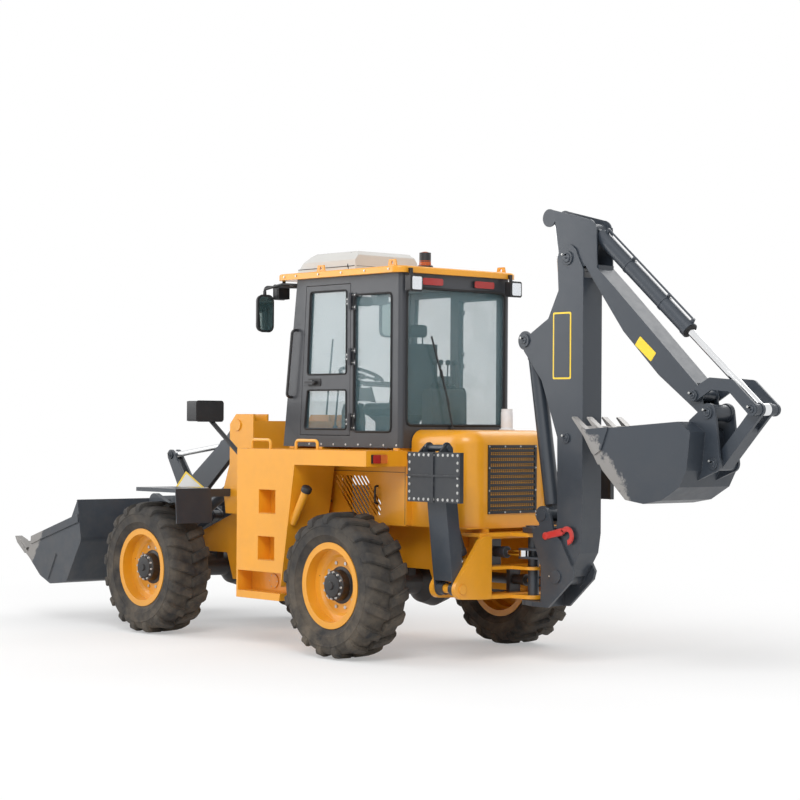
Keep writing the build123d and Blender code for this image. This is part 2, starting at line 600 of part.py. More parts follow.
def dipper():
    """A closed box beam with a tall plate head between the boom's plates."""
    outer = boom_half - boom_plate - side_gap
    inner = outer - boom_plate
    points = [(-1442, 3572), (-1870, 3464), (-1948, 3400), (-1955, 3090), (-2120, 2945), (-2498, 2602), (-2985, 2157),
              (-3040, 1927), (-2584, 2270), (-2232, 2602), (-1835, 3110), (-1700, 3082), (-1562, 3160), (-1506, 3475)]
    face = outline(points) + Pos(*dipper_eye) * Circle(70) + Pos(*curl_base) * Circle(80) + Pos(*boom_top) * Circle(98)
    face = face + Pos(*hoe_pivot) * Circle(68) + Pos(*guide_pin) * Circle(58)
    part = both_sides(from_side(face, inner, outer))
    upper = [(-1955, 3090), (-2120, 2945), (-2498, 2602), (-2940, 2198), (-2948, 2190), (-2506, 2593), (-2128, 2936), (-1963, 3080)]
    lower = [(-3000, 1957), (-2584, 2270), (-2232, 2602), (-1835, 3110), (-1826, 3102), (-2222, 2594), (-2576, 2261), (-3008, 1948)]
    for points in (upper, lower):
        part += side_plate(points, -inner - 2, inner + 2)
    part += side_plate([(-1966, 3080), (-1827, 3100), (-1842, 3126), (-1970, 3106)], -inner - 2, inner + 2)
    for place, radius, hole in ((boom_top, 70, 40), (hoe_pivot, 60, 30)):
        part += pin(place, radius, -outer, outer)
        part -= pin(place, hole + fit_gap, -200, 200)
    for place, ring, width in ((dipper_eye, 50, dipper_ring_width), (curl_base, 50, curl_ring_width)):
        part += both_sides(pin(place, ring, width / 2 + side_gap, inner))
    part += pin(curl_base, 26, -outer, outer)
    guide = hoe_ear_outer + side_gap
    part += pin(guide_pin, 45, -guide, guide)
    return part + headed_pin(guide_pin, 26, -guide - guide_t - side_gap, guide + guide_t + side_gap)


hoe_ear_inner = boom_half - boom_plate
hoe_ear_outer = hoe_ear_inner + hoe_ear
guide_t = 16


def hoe_bucket():
    """A digging bucket: curved shell, side plates with cutters, two ears and pointed teeth."""
    full = outline([(-2938, 1915), (-3054, 1840), (-3020, 1560), (-2953, 1440), (-2780, 1340), (-2607, 1310), (-2429, 1334),
                    (-2195, 1550), (-1998, 1848)])
    inner = offset(full, -hoe_wall)
    mouth = outline([(-2920, 1880), (-2040, 1824), (-2020, 1990), (-2930, 1990)])
    body = from_side(full - inner - mouth, -hoe_half, hoe_half)
    body += both_sides(from_side(full, hoe_half - hoe_wall, hoe_half))
    body += both_sides(side_plate([(-2260, 1872), (-1992, 1852), (-2120, 1660), (-2190, 1700)], hoe_half, hoe_half + 10))
    edge = [(-2150, 1590), (-1962, 1872), (-1975, 1880), (-2165, 1600)]
    body += side_plate(edge, -hoe_half, hoe_half)
    tooth = [(-2085, 1672), (-1992, 1810), (-1873, 1940), (-1880, 1950), (-2040, 1836), (-2120, 1710)]
    for number in range(hoe_teeth):
        y = -hoe_half + 32 + number * (2 * hoe_half - 64) / (hoe_teeth - 1)
        body += side_plate(tooth, y - 28, y + 28)
    ear = chain([(*hoe_pivot, 70), (*push_pin, 62)]) + outline([(-3075, 2050), (-3010, 2005), (-2900, 1925), (-2860, 1700),
                                                               (-2860, 1440), (-3140, 1552), (-3190, 1612)])
    ear = from_side(ear, hoe_ear_inner, hoe_ear_outer) - from_side(offset(full, -hoe_wall / 2), -hoe_half, hoe_half)
    body += both_sides(ear) + headed_pin(hoe_pivot, 30, -hoe_ear_outer, hoe_ear_outer, head=hoe_head)
    return body + headed_pin(push_pin, 28, -hoe_ear_outer, hoe_ear_outer, head=hoe_head)


hoe_head = 10


def guide_links():
    """A bowed plate each side of the dipper, each with a boss towards the cylinder's eye."""
    low = hoe_ear_outer + 2 * side_gap
    plate = web([(*guide_pin, 46), (-3110, 2190, 44), (-3300, 2175, 44), (*curl_eye, 48)], low, low + guide_t)
    plate -= pin(guide_pin, 26 + fit_gap, low - 1, low + guide_t + 1)
    boss = pin(curl_eye, 44, push_outer + side_gap, low + guide_t + 10)
    return both_sides(plate + boss)


push_outer = 62


def push_link():
    """A box link whose fork takes the cylinder's eye."""
    inner = curl_ring_width / 2 + side_gap
    fork = both_sides(web([(*curl_eye, 50), (-3370, 1868, 48)], inner, push_outer))
    fork += web([(-3370, 1868, 48), (*push_pin, 50)], -push_outer, push_outer)
    fork -= web([(*curl_eye, 66), (-3440, 1945, 60)], -inner, inner)
    fork -= pin(curl_eye, 30, -100, 100)
    fork += pin(push_pin, 50, -hoe_ear_inner + side_gap, hoe_ear_inner - side_gap)
    return fork - pin(push_pin, 28 + fit_gap, -100, 100)


# ---------------------------------------------------------------- stabilisers, for the left side
def leg():
    """A channel open towards the machine, with its cylinder inside."""
    direction = atan2(leg_top[1] - leg_foot[1], leg_top[0] - leg_foot[0])
    length = hypot(leg_top[1] - leg_foot[1], leg_top[0] - leg_foot[0])
    place = Plane((leg_x, *leg_foot), x_dir=(1, 0, 0), z_dir=(0, cos(direction), sin(direction)))
    half, wall, deep = leg_width / 2, leg_wall, leg_depth / 2
    # local X across, local Y inwards and outwards, local Z along the leg
    outward = place.y_dir.Y
    cheek = Box(wall, leg_depth, length, align=(Align.MIN, Align.CENTER, Align.MIN))
    part = Pos(half - wall, 0, 0) * cheek + Pos(-half, 0, 0) * cheek
    back = deep - wall / 2 if outward > 0 else -deep + wall / 2
    part += Pos(0, back, 70) * Box(leg_width, wall, length - 150, align=low_end)
    turn = Rot(0, 90, 0)
    for z, radius in ((0, 60), (length, 45)):
        for x in (half - wall / 2, -half + wall / 2):
            part += Pos(x, 0, z) * turn * Cylinder(radius, wall)
    clear = leg_rod + 12     # the cylinder passes between the pivot's two bosses
    for x in (half + clear, -half - clear):
        part += Pos(x / 2, 0, 0) * turn * Cylinder(52, half - clear)
    part -= turn * Cylinder(38 + fit_gap, leg_width + 2)
    part += Pos(0, 0, length) * turn * Cylinder(26, leg_width + 60)
    part = place * part
    eye_half = leg_rod + 1 + side_gap
    for x in (leg_x - half, leg_x + eye_half):
        part += long_pin(leg_base, 46, x, x + half - eye_half)
    return part + long_pin(leg_base, 22, leg_x - half - 8, leg_x + half + 8)


def pad():
    """A flat shoe that hangs beside the leg, with two ears on the pad pin."""
    y, z = leg_top
    sole = y + pad_offset
    part = box(pad_x - pad_length / 2, pad_x + pad_length / 2, sole - pad_t, sole, z - pad_drop, z - 32)
    half = leg_width / 2 + side_gap
    ear = outline([(y - 26, z - 20), (y - 10, z + 32), (y + 25, z + 30), (sole - 2, z - 34), (sole - 2, z - 260), (y + 70, z - 250)])
    for x in (leg_x - half - 14, leg_x + half):
        part += from_behind(ear, x, x + 14) - long_pin(leg_top, 26 + fit_gap, x - 1, x + 15)
    for x in (pad_x - pad_length / 2, pad_x + pad_length / 2 - 12):
        part += box(x, x + 12, sole - pad_t - 28, sole - pad_t, z - pad_drop, z - 32)
    part += box(pad_x - pad_length / 2, pad_x + pad_length / 2, sole - 2, sole + 10, z - 222, z - 208)
    return part + box(pad_x - 7, pad_x + 7, sole - 2, sole + 10, z - pad_drop, z - 32)


# ---------------------------------------------------------------- covers, platforms, cab
def round_box(x_from, x_to, half, z_from, z_to, corner, top):
    """A cover block with rounded rear corners and a rounded top edge."""
    block = box(x_from, x_to, -half, half, z_from, z_to)
    block = fillet(block.edges().filter_by(Axis.Z).group_by(Axis.X)[0], corner)
    rim_edges = block.faces().sort_by(Axis.Z)[-1].edges()
    return fillet([edge for edge in rim_edges if edge.center().X < x_to - 1], top)


def hood():
    """The tall rounded part over the engine and the low part under the cab, with slanting slots in its sides."""
    t = cover_t
    part = round_box(hood_back, hood_step, hood_half, hood_seat, hood_top, 190, 110)
    part -= round_box(hood_back + t, hood_step - t, hood_half - t, hood_seat - 5, hood_top - t, 190 - t, 110 - t)
    side = box(hood_step, hood_front, hood_low_half - t, hood_low_half, hood_seat, hood_step_top)
    low, high, slope = 1140, 1455, 280
    field = box(slot_edges[0], slot_edges[1], 0, hood_low_half + 10, low, high)
    for number in range(10):
        x = slot_edges[0] + 190 + number * slot_step
        slot = side_plate([(x, high), (x + slot_width, high), (x + slot_width - slope, low), (x - slope, low)],
                          hood_low_half - 2 * t, hood_low_half + t)
        side -= slot & field
    part += both_sides(side) + box(hood_step - t, hood_step, -hood_low_half, hood_low_half, hood_seat, hood_step_top)
    part -= box(hood_step - 20, hood_step + 2, -hood_half + 60, hood_half - 60, hood_seat - 5, hood_top - 160)
    part += both_sides(box(hood_step - t, hood_front, hood_low_half - t - 30, hood_low_half, hood_step_top - t, hood_step_top))
    return part + post(-580, -300, 42, hood_top - t / 2, 2010) - post(-580, -300, 36, hood_top + 10, 2020)


def grille():
    low, high, half, x = 1175, 1722, 270, hood_back
    part = box(x - 10, x, -half, half, low, high) - box(x - 20, x + 1, -half + 22, half - 22, low + 22, high - 22)
    for number in range(11):
        z = low + 22 + (number + 0.5) * (high - low - 44) / 11
        part += box(x - 8, x, -half + 10, half - 10, z - 11, z + 11)
    return part


def side_platforms():
    """On each side a platform, with a tank below it whose outer face holds two steps."""
    part = box(deck_back, deck_front, deck_in, deck_out, deck_top - deck_edge, deck_top)
    tank = side_plate([(530, deck_top - deck_edge), (deck_front, deck_top - deck_edge), (deck_front, tank_low), (720, tank_low)],
                      deck_in, deck_out)
    for x, z in ((780, 1130), (790, 740)):
        tank -= box(x, x + 225, deck_out - 130, deck_out + 1, z, z + 200)
    tank -= box(700, 1290, deck_out - 150, deck_out + 1, tank_low + 60, tank_low + 230)
    part += tank + bar((620, deck_out - 60, 1060), (445, deck_out - 60, 1338), 34)
    return both_sides(part)


def cab_profile(inset=0):
    """The cab's side outline, or one inside it."""
    face = outline([(cab_back, cab_low), (cab_front_low, cab_low), (cab_front_high, cab_high), (cab_back, cab_high)])
    return offset(face, -inset, kind=Kind.INTERSECTION) if inset else face


def front_x(z):
    """The front pillar's outer face at a height."""
    return cab_front_low + (cab_front_high - cab_front_low) * (z - cab_low) / (cab_high - cab_low)


door_low, door_high, door_back = 1785, 3050, 345
door_line = 213             # the door opening's front edge, back from the cab's front
rail_low, rail_high = 2165, 2299
door_outline = [(door_back, door_low), (front_x(door_low) - door_line, door_low),
                (front_x(door_high) - door_line + 80, door_high), (door_back, door_high)]
side_window = [(-172, 1820), (300, 1820), (300, 2950), (-172, 2950)]
front_window = (-cab_half + 52, cab_half - 52, 1790, cab_high - 60)
rear_window = (-cab_half + 62, cab_half - 62, 1875, cab_high - 120)


def cab_shell():
    part = from_side(cab_profile(), -cab_half, cab_half)
    part = fillet(part.edges().filter_by(Axis.Z), 40)
    part -= from_side(cab_profile(cab_wall), -cab_half + cab_wall, cab_half - cab_wall)
    part -= side_plate(door_outline, -cab_half - 5, cab_half + 5)
    part -= side_plate(side_window, -cab_half - 5, cab_half + 5)
    part -= box(900, 1400, front_window[0], front_window[1], front_window[2], front_window[3])
    part -= box(cab_back - 5, cab_back + cab_wall + 5, rear_window[0], rear_window[1], rear_window[2], rear_window[3])
    for sign in (1, -1):
        y = sign * door_hinge[1]
        for z in (1900, 2440, 2900):
            part += post(door_hinge[0], y, 8, z - 70, z + 70)
            part += post(door_hinge[0], y, door_knuckle, z + 31, z + 70) + post(door_hinge[0], y, door_knuckle, z - 70, z - 31)
            for low, high in ((z + 31, z + 70), (z - 70, z - 31)):
                part += box(door_hinge[0] - 60, door_hinge[0], sign * (cab_half - 3), sign * (cab_half + 6), low, high)
    return part


def cab_glass():
    """The panes that do not open: front, rear and the two rear sides."""
    mid = cab_wall / 2
    inner = from_side(cab_profile(mid), -cab_half, cab_half) - from_side(cab_profile(mid + pane), -cab_half - 1, cab_half + 1)
    part = inner & box(900, 1400, *front_window[:2], *front_window[2:])
    part += inner & box(cab_back - 1, 0, *rear_window[:2], *rear_window[2:])
    y = cab_half - mid
    return part + both_sides(side_plate(side_window, y - pane, y))


def door():
    """The left door: a ring with a rail across it, a hinge knuckle at three heights and a handle."""
    full = offset(outline(door_outline), -door_gap, kind=Kind.INTERSECTION)
    ring = full - offset(full, -door_ring, kind=Kind.INTERSECTION)
    rail = full & outline([(0, rail_low), (2000, rail_low), (2000, rail_high), (0, rail_high)])
    part = from_side(ring + rail, cab_half - door_t, cab_half)
    x, y = door_hinge
    for z in (1900, 2440, 2900):
        part += box(x, door_back + door_gap + 50, cab_half, cab_half + 6, z - 30, z + 30)
        part += box(x, x + 8, cab_half, y, z - 30, z + 30) + post(x, y, door_knuckle, z - 30, z + 30)
        part -= post(x, y, 9, z - 80, z + 80)
    part += box(800, 830, cab_half - 2, cab_half + 30, 2218, 2246) + box(800, 925, cab_half + 24, cab_half + 38, 2214, 2250)
    return part


def cab_roof():
    part = box(roof_back, roof_front, -roof_half, roof_half, cab_high, roof_top)
    part = fillet(part.edges().filter_by(Axis.Z), 90)
    part = fillet(part.faces().sort_by(Axis.Z)[-1].edges(), 18)
    for x in lifting_eye_x:
        eye = outline([(x - 55, roof_top - 3), (x + 55, roof_top - 3), (x + 40, roof_top + 55), (x - 40, roof_top + 55)])
        eye = eye - Pos(x, roof_top + 27) * Circle(lifting_eye_radius)
        part += both_sides(from_side(eye, roof_half - 66, roof_half - 54))
    return part


def air_conditioner():
    """A moulded cover with a sloping front and sides that lean in, on two feet."""
    foot, top, half = roof_top + 12, roof_top + 190, 350
    part = side_plate([(600, foot), (1380, foot), (1385, foot + 25), (1250, top - 25), (1190, top), (640, top), (600, top - 35)],
                      -half, half)
    lean = cross_plate([(-half, foot), (half, foot), (half, top - 75), (half - 60, top), (60 - half, top), (-half, top - 75)],
                       500, 1500)
    part &= lean
    for x in (660, 1240):
        part += box(x, x + 80, -300, 300, roof_top, foot + 1)
    return part


def seat():
    floor = cab_low + cab_wall
    part = box(300, 620, -160, 160, floor, 1960)
    part += fillet(box(230, 740, -240, 240, 1950, 2060).edges(), 30)
    return part + fillet(box(150, 270, -230, 230, 2030, 2600).edges(), 30)


def controls():
    """The steering column with its wheel, and the lever stand for the digging arm."""
    floor = cab_low + cab_wall
    part = box(1000, 1080, -90, 90, floor, 2050)
    part += bar((1040, 0, 2030), (930, 0, 2290), 28)
    ring = revolve(Plane.XZ * Pos(185, 0) * RegularPolygon(14, 6), Axis.Z)
    wheel = Plane((925, 0, 2300), z_dir=(-110, 0, 260)) * (ring + Cylinder(36, 30) + Box(370, 26, 12) + Box(26, 370, 12))
    part += wheel + box(-200, -60, -190, 190, floor, 2180)
    for y in (-110, -40, 40, 110):
        part += bar((-130, y, 2170), (-140, y, 2375), 8) + post(-140, y, 17, 2370, 2410)
    return part


def handrails():
    """Grab loops on the platforms and a bowed rail on each front pillar of the cab."""
    y, part = deck_out - 50, None
    for x_from, x_to in ((291, 571), (913, 1166)):
        path = FilletPolyline((x_from, y, deck_top), (x_from, y, deck_top + loop_reach), (x_to, y, deck_top + loop_reach),
                              (x_to, y, deck_top), radius=32)
        loop = sweep(Plane((x_from, y, deck_top), z_dir=(0, 0, 1)) * RegularPolygon(13, 8), path)
        part = loop if part is None else part + loop
    out = cab_half + 58
    low, high = (front_x(2110) - 60, 2110), (front_x(2680) - 60, 2680)
    path = FilletPolyline((low[0], cab_half, low[1]), (low[0], out, low[1]), (high[0], out, high[1]), (high[0], cab_half, high[1]),
                          radius=34)
    rail = sweep(Plane((low[0], cab_half, low[1]), z_dir=(0, 1, 0)) * RegularPolygon(12, 8), path)
    part += rail
    return part + mirror(part, Plane.XZ)


def lamps():
    """Headlights on stalks from the platforms, work lights and a beacon on the roof."""
    dx, dy, dz = lamp_size
    part = box(lamp_x, lamp_x + dx, lamp_y, lamp_y + dy, lamp_z, lamp_z + dz)
    part += bar((deck_front + 16, deck_out - 60, 1600), (lamp_x + 50, lamp_y + 90, lamp_z + 5), 20)
    part += box(deck_front, deck_front + 18, deck_out - 150, deck_out - 20, deck_top - deck_edge, deck_top)
    for edge, out in ((roof_back, -1), (roof_front, 1)):
        y = roof_half - 112
        part += box(edge + out * 14, edge + out * 84, y - 60, y + 60, 2960, 3080)
        part += box(edge, edge + out * 24, y - 15, y + 15, cab_high + 5, roof_top - 20)
        part += box(edge + out * 14, edge + out * 24, y - 15, y + 15, 3070, roof_top - 20)
    part += box(cab_back - 16, cab_back, 180, 400, 3020, 3075)
    part = both_sides(part)
    part += box(deck_back - 14, deck_back, 850, 1000, 1570, 1640) + box(deck_back - 14, deck_back, -1000, -850, 1570, 1640)
    return part + post(-205, 280, 60, roof_top, 3185) + post(-205, 280, 48, 3180, 3290)


def mirrors():
    part = box(1380, 1414, 620, 780, 2680, 2985)
    part += bar((1397, 700, 2970), (1397, 700, 3075), 10) + bar((1397, 700, 3050), (front_x(3040) + 14, cab_half - 32, 3050), 9)
    part += box(front_x(3020), front_x(3020) + 20, cab_half - 52, cab_half - 16, 3020, 3080)
    return both_sides(part)


# ---------------------------------------------------------------- all the pieces
parts = {}


def add_pair(left_name, right_name, solid):
    parts[left_name] = solid
    parts[right_name] = mirror(solid, Plane.XZ)


def build_front():
    parts["front_frame"] = front_frame()
    parts["front_axle"] = axle(wheelbase)
    parts["front_fenders"] = front_fenders()
    parts["loader_arms"] = loader_arms()
    parts["loader_bucket"] = loader_bucket()
    parts["rocker"] = rocker()
    parts["bucket_link"] = bucket_link()
    parts["tilt_barrel"], parts["tilt_rod"] = hydraulic(
        at_y(tilt_base), at_y(rocker_top), (0, 1, 0), tilt_bore, tilt_rod, tilt_travel, tilt_ring_width, tilt_ring_width,
        tilt_eye, tilt_pin)
    middle = arm_y + arm_t / 2
    barrel, rod = hydraulic(at_y(lift_base, middle), at_y(lift_eye, middle), (0, 1, 0), lift_bore, lift_rod, lift_travel,
                            tower_outer - tower_inner - 2 * side_gap, 2 * (lift_lug_gap - side_gap), lift_ring,
                            lift_pin)
    parts["lift_barrels"], parts["lift_rods"] = both_sides(barrel), both_sides(rod)


def build_rear():
    parts["rear_frame"] = rear_frame()
    parts["rear_axle"] = axle(0)
    parts["engine_block"] = box(-850, -340, -220, 220, hood_seat, 1600)
    parts["hood"] = hood()
    parts["grille"] = grille()
    parts["side_platforms"] = side_platforms()
    parts["cab_shell"] = cab_shell()
    parts["cab_glass"] = cab_glass()
    parts["cab_roof"] = cab_roof()
    parts["air_conditioner"] = air_conditioner()
    parts["seat"] = seat()
    parts["controls"] = controls()
    parts["lamps"] = lamps()
    parts["mirrors"] = mirrors()
    parts["handrails"] = handrails()
    add_pair("door_left", "door_right", door())


def build_wheels():
    one_tyre, one_rim = tyre(), rim()
    for name, x, side in (("front_left", wheelbase, 1), ("front_right", wheelbase, -1), ("rear_left", 0, 1), ("rear_right", 0, -1)):
        parts["tyre_" + name] = wheel_place(x, side) * one_tyre
        parts["rim_" + name] = wheel_place(x, side) * one_rim


def build_digger():
    parts["swing_post"] = swing_post()
    barrels = None
    for name, sign, level in zip(("left", "right"), (1, -1), swing_levels):
        y = sign * swing_reach
        barrel, parts["swing_rod_" + name] = hydraulic(
            (swing_x + 640, y, level), (swing_x, y, level), (0, 0, 1), swing_bore, swing_rod, swing_reach, 60,
            2 * (swing_rod + 2), swing_ring, swing_pin)
        low, high = (765, 1000) if level > 740 else (540, 740)
        barrel += box(-880, -840, y - 60, y + 60, low, high)
        barrels = barrel if barrels is None else barrels + barrel
    shaft_hole = None
    for sign, level in zip((1, -1), swing_levels):
        inner = Pos(0, sign * swing_reach, level) * Rot(0, 90, 0) * Cylinder(swing_bore * 0.84, 60)
        hole = Pos(-860, 0, 0) * inner
        shaft_hole = hole if shaft_hole is None else shaft_hole + hole
    parts["swing_barrels"] = barrels - shaft_hole
    parts["boom"] = boom()
    parts["dipper"] = dipper()
    parts["hoe_bucket"] = hoe_bucket()
    parts["guide_links"] = guide_links()
    parts["push_link"] = push_link()
    for name, base, eye, bore, rod, travel, width, ring, pin_radius in (
            ("boom", boom_base, boom_eye, boom_bore, boom_rod, 6, boom_ring_width, 56, 30),
            ("dipper", dipper_base, dipper_eye, dipper_bore, dipper_rod, dipper_travel, dipper_ring_width, 48, 26),
            ("curl", curl_base, curl_eye, curl_bore, curl_rod, curl_travel, curl_ring_width, 48, 26)):
        parts[name + "_barrel"], parts[name + "_rod"] = hydraulic(
            at_y(base), at_y(eye), (0, 1, 0), bore, rod, travel, width, width, ring, pin_radius)


def build_legs():
    add_pair("leg_left", "leg_right", leg())
    add_pair("pad_left", "pad_right", pad())
    width = 2 * (leg_rod + 1)
    barrel, rod = hydraulic((leg_x, *leg_base), (leg_x, *leg_eye), (1, 0, 0), leg_bore, leg_rod, 6, width, width, 40, 22)
    add_pair("leg_barrel_left", "leg_barrel_right", barrel)
    add_pair("leg_rod_left", "leg_rod_right", rod)


build_front()
build_rear()
build_wheels()
build_digger()
build_legs()

ends = [(solid.bounding_box().min.X, solid.bounding_box().max.X)
        for name, solid in parts.items() if name in ("loader_bucket", "guide_links", "push_link", "curl_rod")]
x_mid = (min(low for low, high in ends) + max(high for low, high in ends)) / 2

os.makedirs("parts", exist_ok=True)
for name, solid in parts.items():
    export_step(Pos(-x_mid, 0, 0) * solid, os.path.join("parts", name + ".step"))
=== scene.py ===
# %% [markdown]
# # A backhoe loader, dressed for the render
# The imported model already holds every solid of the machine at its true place. This lesson gives those
# solids their paint, steel, rubber and glass, and adds what a hand would feel on the real machine:
# lugs with worn shoulders, wheel nuts, hydraulic pipes, hinges, lamps, a padded seat.
# Lengths are written in millimetres from the rear axle and the ground, as on a workshop drawing,
# and one function turns them into the scene's metres.

# %% The frame
from math import cos, pi, radians, sin, tau

import bmesh
import bpy
from mathutils import Matrix, Vector


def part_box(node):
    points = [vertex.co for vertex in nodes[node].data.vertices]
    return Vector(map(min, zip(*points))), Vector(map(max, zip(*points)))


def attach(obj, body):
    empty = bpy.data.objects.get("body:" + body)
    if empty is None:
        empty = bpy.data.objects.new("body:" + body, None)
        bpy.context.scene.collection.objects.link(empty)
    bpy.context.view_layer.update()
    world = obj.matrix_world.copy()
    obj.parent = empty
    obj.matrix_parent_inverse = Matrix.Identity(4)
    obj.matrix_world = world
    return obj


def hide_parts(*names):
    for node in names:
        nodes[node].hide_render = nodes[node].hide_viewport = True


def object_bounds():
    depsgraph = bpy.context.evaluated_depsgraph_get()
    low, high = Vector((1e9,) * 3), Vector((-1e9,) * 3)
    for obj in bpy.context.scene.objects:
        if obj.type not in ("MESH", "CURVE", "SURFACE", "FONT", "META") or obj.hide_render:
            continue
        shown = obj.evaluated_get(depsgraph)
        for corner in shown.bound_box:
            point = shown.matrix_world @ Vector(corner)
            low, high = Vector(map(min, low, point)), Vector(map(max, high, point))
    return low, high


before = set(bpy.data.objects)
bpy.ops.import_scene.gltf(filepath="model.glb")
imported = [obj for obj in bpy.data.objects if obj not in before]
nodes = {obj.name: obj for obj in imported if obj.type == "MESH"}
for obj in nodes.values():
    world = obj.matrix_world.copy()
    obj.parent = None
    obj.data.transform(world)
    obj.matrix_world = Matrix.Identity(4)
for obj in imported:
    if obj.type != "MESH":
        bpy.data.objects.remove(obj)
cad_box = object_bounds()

scene = bpy.context.scene
wheel_low, wheel_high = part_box("tyre_rear_left")
axle_x = (wheel_low.x + wheel_high.x) / 2


def at(x, y, z):
    """A point in millimetres forward of the rear axle, left of the middle and above the ground."""
    return Vector((axle_x + x / 1000, y / 1000, z / 1000))


# %% [markdown]
# ## Where the viewer stands
# A long lens from thirteen metres behind and twelve to the left keeps the machine's proportions calm.
# The camera's axes are worked out from its turn, tilt and roll, so nothing is aimed by eye.

# %% Camera
camera = bpy.data.objects.new("camera", bpy.data.cameras.new("camera"))
scene.collection.objects.link(camera)
camera.data.lens, camera.data.sensor_width = 93.86, 36
camera.data.clip_end = 200
turn, tilt, roll = radians(-41.3233), radians(0.6625), radians(0.3666)
forward = Vector((cos(tilt) * cos(turn), cos(tilt) * sin(turn), sin(tilt)))
level_right = Vector((sin(turn), -cos(turn), 0))
level_up = level_right.cross(forward)
right = cos(roll) * level_right + sin(roll) * level_up
up = -sin(roll) * level_right + cos(roll) * level_up
camera.matrix_world = Matrix.Translation(at(-12909, 11715,
                                            1884)) @ Matrix((right, up, -forward)).transposed().to_4x4()
scene.camera = camera

# %% [markdown]
# ## Studio
# A white room: the world is white to the camera, to glossy surfaces and through glass, and softer as a
# light, so that a colour renders about as it is written. One large key lamp stands behind the viewer's
# left shoulder, a fill lamp opposite, and the floor fades to white away from the machine.

# %% World, lamps and floor
def add(tree, kind, inputs=(), **settings):
    """A node with its settings, and its input sockets set by name or number."""
    node = tree.nodes.new(kind)
    for name, value in settings.items():
        setattr(node, name, value)
    for name, value in dict(inputs).items():
        node.inputs[name].default_value = value
    return node


def wire(tree, source, target):
    tree.links.new(source, target)


def seen_directly(tree):
    """1 where a ray comes from the camera, a reflection or through glass."""
    path = add(tree, "ShaderNodeLightPath")
    first = add(tree, "ShaderNodeMath", operation="MAXIMUM")
    second = add(tree, "ShaderNodeMath", operation="MAXIMUM")
    wire(tree, path.outputs["Is Camera Ray"], first.inputs[0])
    wire(tree, path.outputs["Is Glossy Ray"], first.inputs[1])
    wire(tree, first.outputs[0], second.inputs[0])
    wire(tree, path.outputs["Is Transmission Ray"], second.inputs[1])
    return second.outputs[0]


world = bpy.data.worlds.new("white_room")
scene.world = world
world.use_nodes = True
sky = world.node_tree
strength = add(sky, "ShaderNodeMapRange", {"To Min": 0.62, "To Max": 1.0})
wire(sky, seen_directly(sky), strength.inputs["Value"])
wire(sky, strength.outputs["Result"], sky.nodes["Background"].inputs["Strength"])
sky.nodes["Background"].inputs["Color"].default_value = (1, 1, 1, 1)

middle = (Vector(cad_box[0]) + Vector(cad_box[1])) / 2
for name, place, size, power in (
    ("key", at(-6500, 8500, 9500), 6.0, 900),
    ("fill", at(9000, 6500, 5500), 7.0, 380),
    ("back", at(1000, -9500, 8000), 7.0, 380),
):
    lamp = bpy.data.lights.new(name, "AREA")
    lamp.size, lamp.energy = size, power
    holder = bpy.data.objects.new(name, lamp)
    scene.collection.objects.link(holder)
    holder.location = place
    holder.rotation_euler = (middle - place).to_track_quat("-Z", "Y").to_euler()

floor_mesh = bpy.data.meshes.new("floor")
reach = 60
floor_mesh.from_pydata([(-reach, -reach, 0), (reach, -reach, 0), (reach, reach, 0), (-reach, reach, 0)], [],
                       [(0, 1, 2, 3)])
floor = bpy.data.objects.new("floor", floor_mesh)
scene.collection.objects.link(floor)
floor.location.z = cad_box[0][2] - 0.001
pale = bpy.data.materials.new("pale_floor")
pale.use_nodes = True
tree = pale.node_tree
tree.nodes["Principled BSDF"].inputs["Base Color"].default_value = (0.9, 0.9, 0.9, 1)
tree.nodes["Principled BSDF"].inputs["Roughness"].default_value = 0.9
tree.nodes["Principled BSDF"].inputs["Specular IOR Level"].default_value = 0.1
glow = add(tree, "ShaderNodeEmission", {"Color": (1, 1, 1, 1), "Strength": 1.0})
blend = add(tree, "ShaderNodeMixShader")
place = add(tree, "ShaderNodeTexCoord")
distance = add(tree, "ShaderNodeVectorMath", operation="LENGTH")
fade = add(tree, "ShaderNodeMapRange", {"From Min": 3.2, "From Max": 8.5, "To Min": 0.35, "To Max": 1.0},
           interpolation_type="SMOOTHSTEP")
only_seen = add(tree, "ShaderNodeMath", operation="MULTIPLY")
wire(tree, place.outputs["Object"], distance.inputs[0])
wire(tree, distance.outputs["Value"], fade.inputs["Value"])
wire(tree, fade.outputs["Result"], only_seen.inputs[0])
wire(tree, seen_directly(tree), only_seen.inputs[1])
wire(tree, only_seen.outputs[0], blend.inputs["Fac"])
wire(tree, tree.nodes["Principled BSDF"].outputs[0], blend.inputs[1])
wire(tree, glow.outputs[0], blend.inputs[2])
wire(tree, blend.outputs[0], tree.nodes["Material Output"].inputs["Surface"])
floor_mesh.materials.append(pale)
scene.view_settings.view_transform = "Standard"
print("studio: camera", tuple(round(c, 2) for c in camera.location))

# %% [markdown]
# ## What happens to painted steel
# Paint on such a machine is never one colour. It varies a little over each plate, dust settles low down,
# a fine orange peel breaks up the gloss, and edges lose their colour first. Those four effects are one
# shader group, used by every painted finish with its own values. The edge mask compares the true normal
# with one rounded over a few millimetres, and the same rounded normal makes each sheared plate edge catch
# the light as a real one does.

# %% Group: weathered paint
def new_group(name, inputs, outputs):
    """A shader group with named sockets: {name: (kind, value)} in and {name: kind} out."""
    group = bpy.data.node_groups.new(name, "ShaderNodeTree")
    for label, (kind, value) in inputs.items():
        socket = group.interface.new_socket(label, in_out="INPUT", socket_type="NodeSocket" + kind)
        if value is not None:
            socket.default_value = value
    for label, kind in outputs.items():
        group.interface.new_socket(label, in_out="OUTPUT", socket_type="NodeSocket" + kind)
    return group, add(group, "NodeGroupInput"), add(group, "NodeGroupOutput")


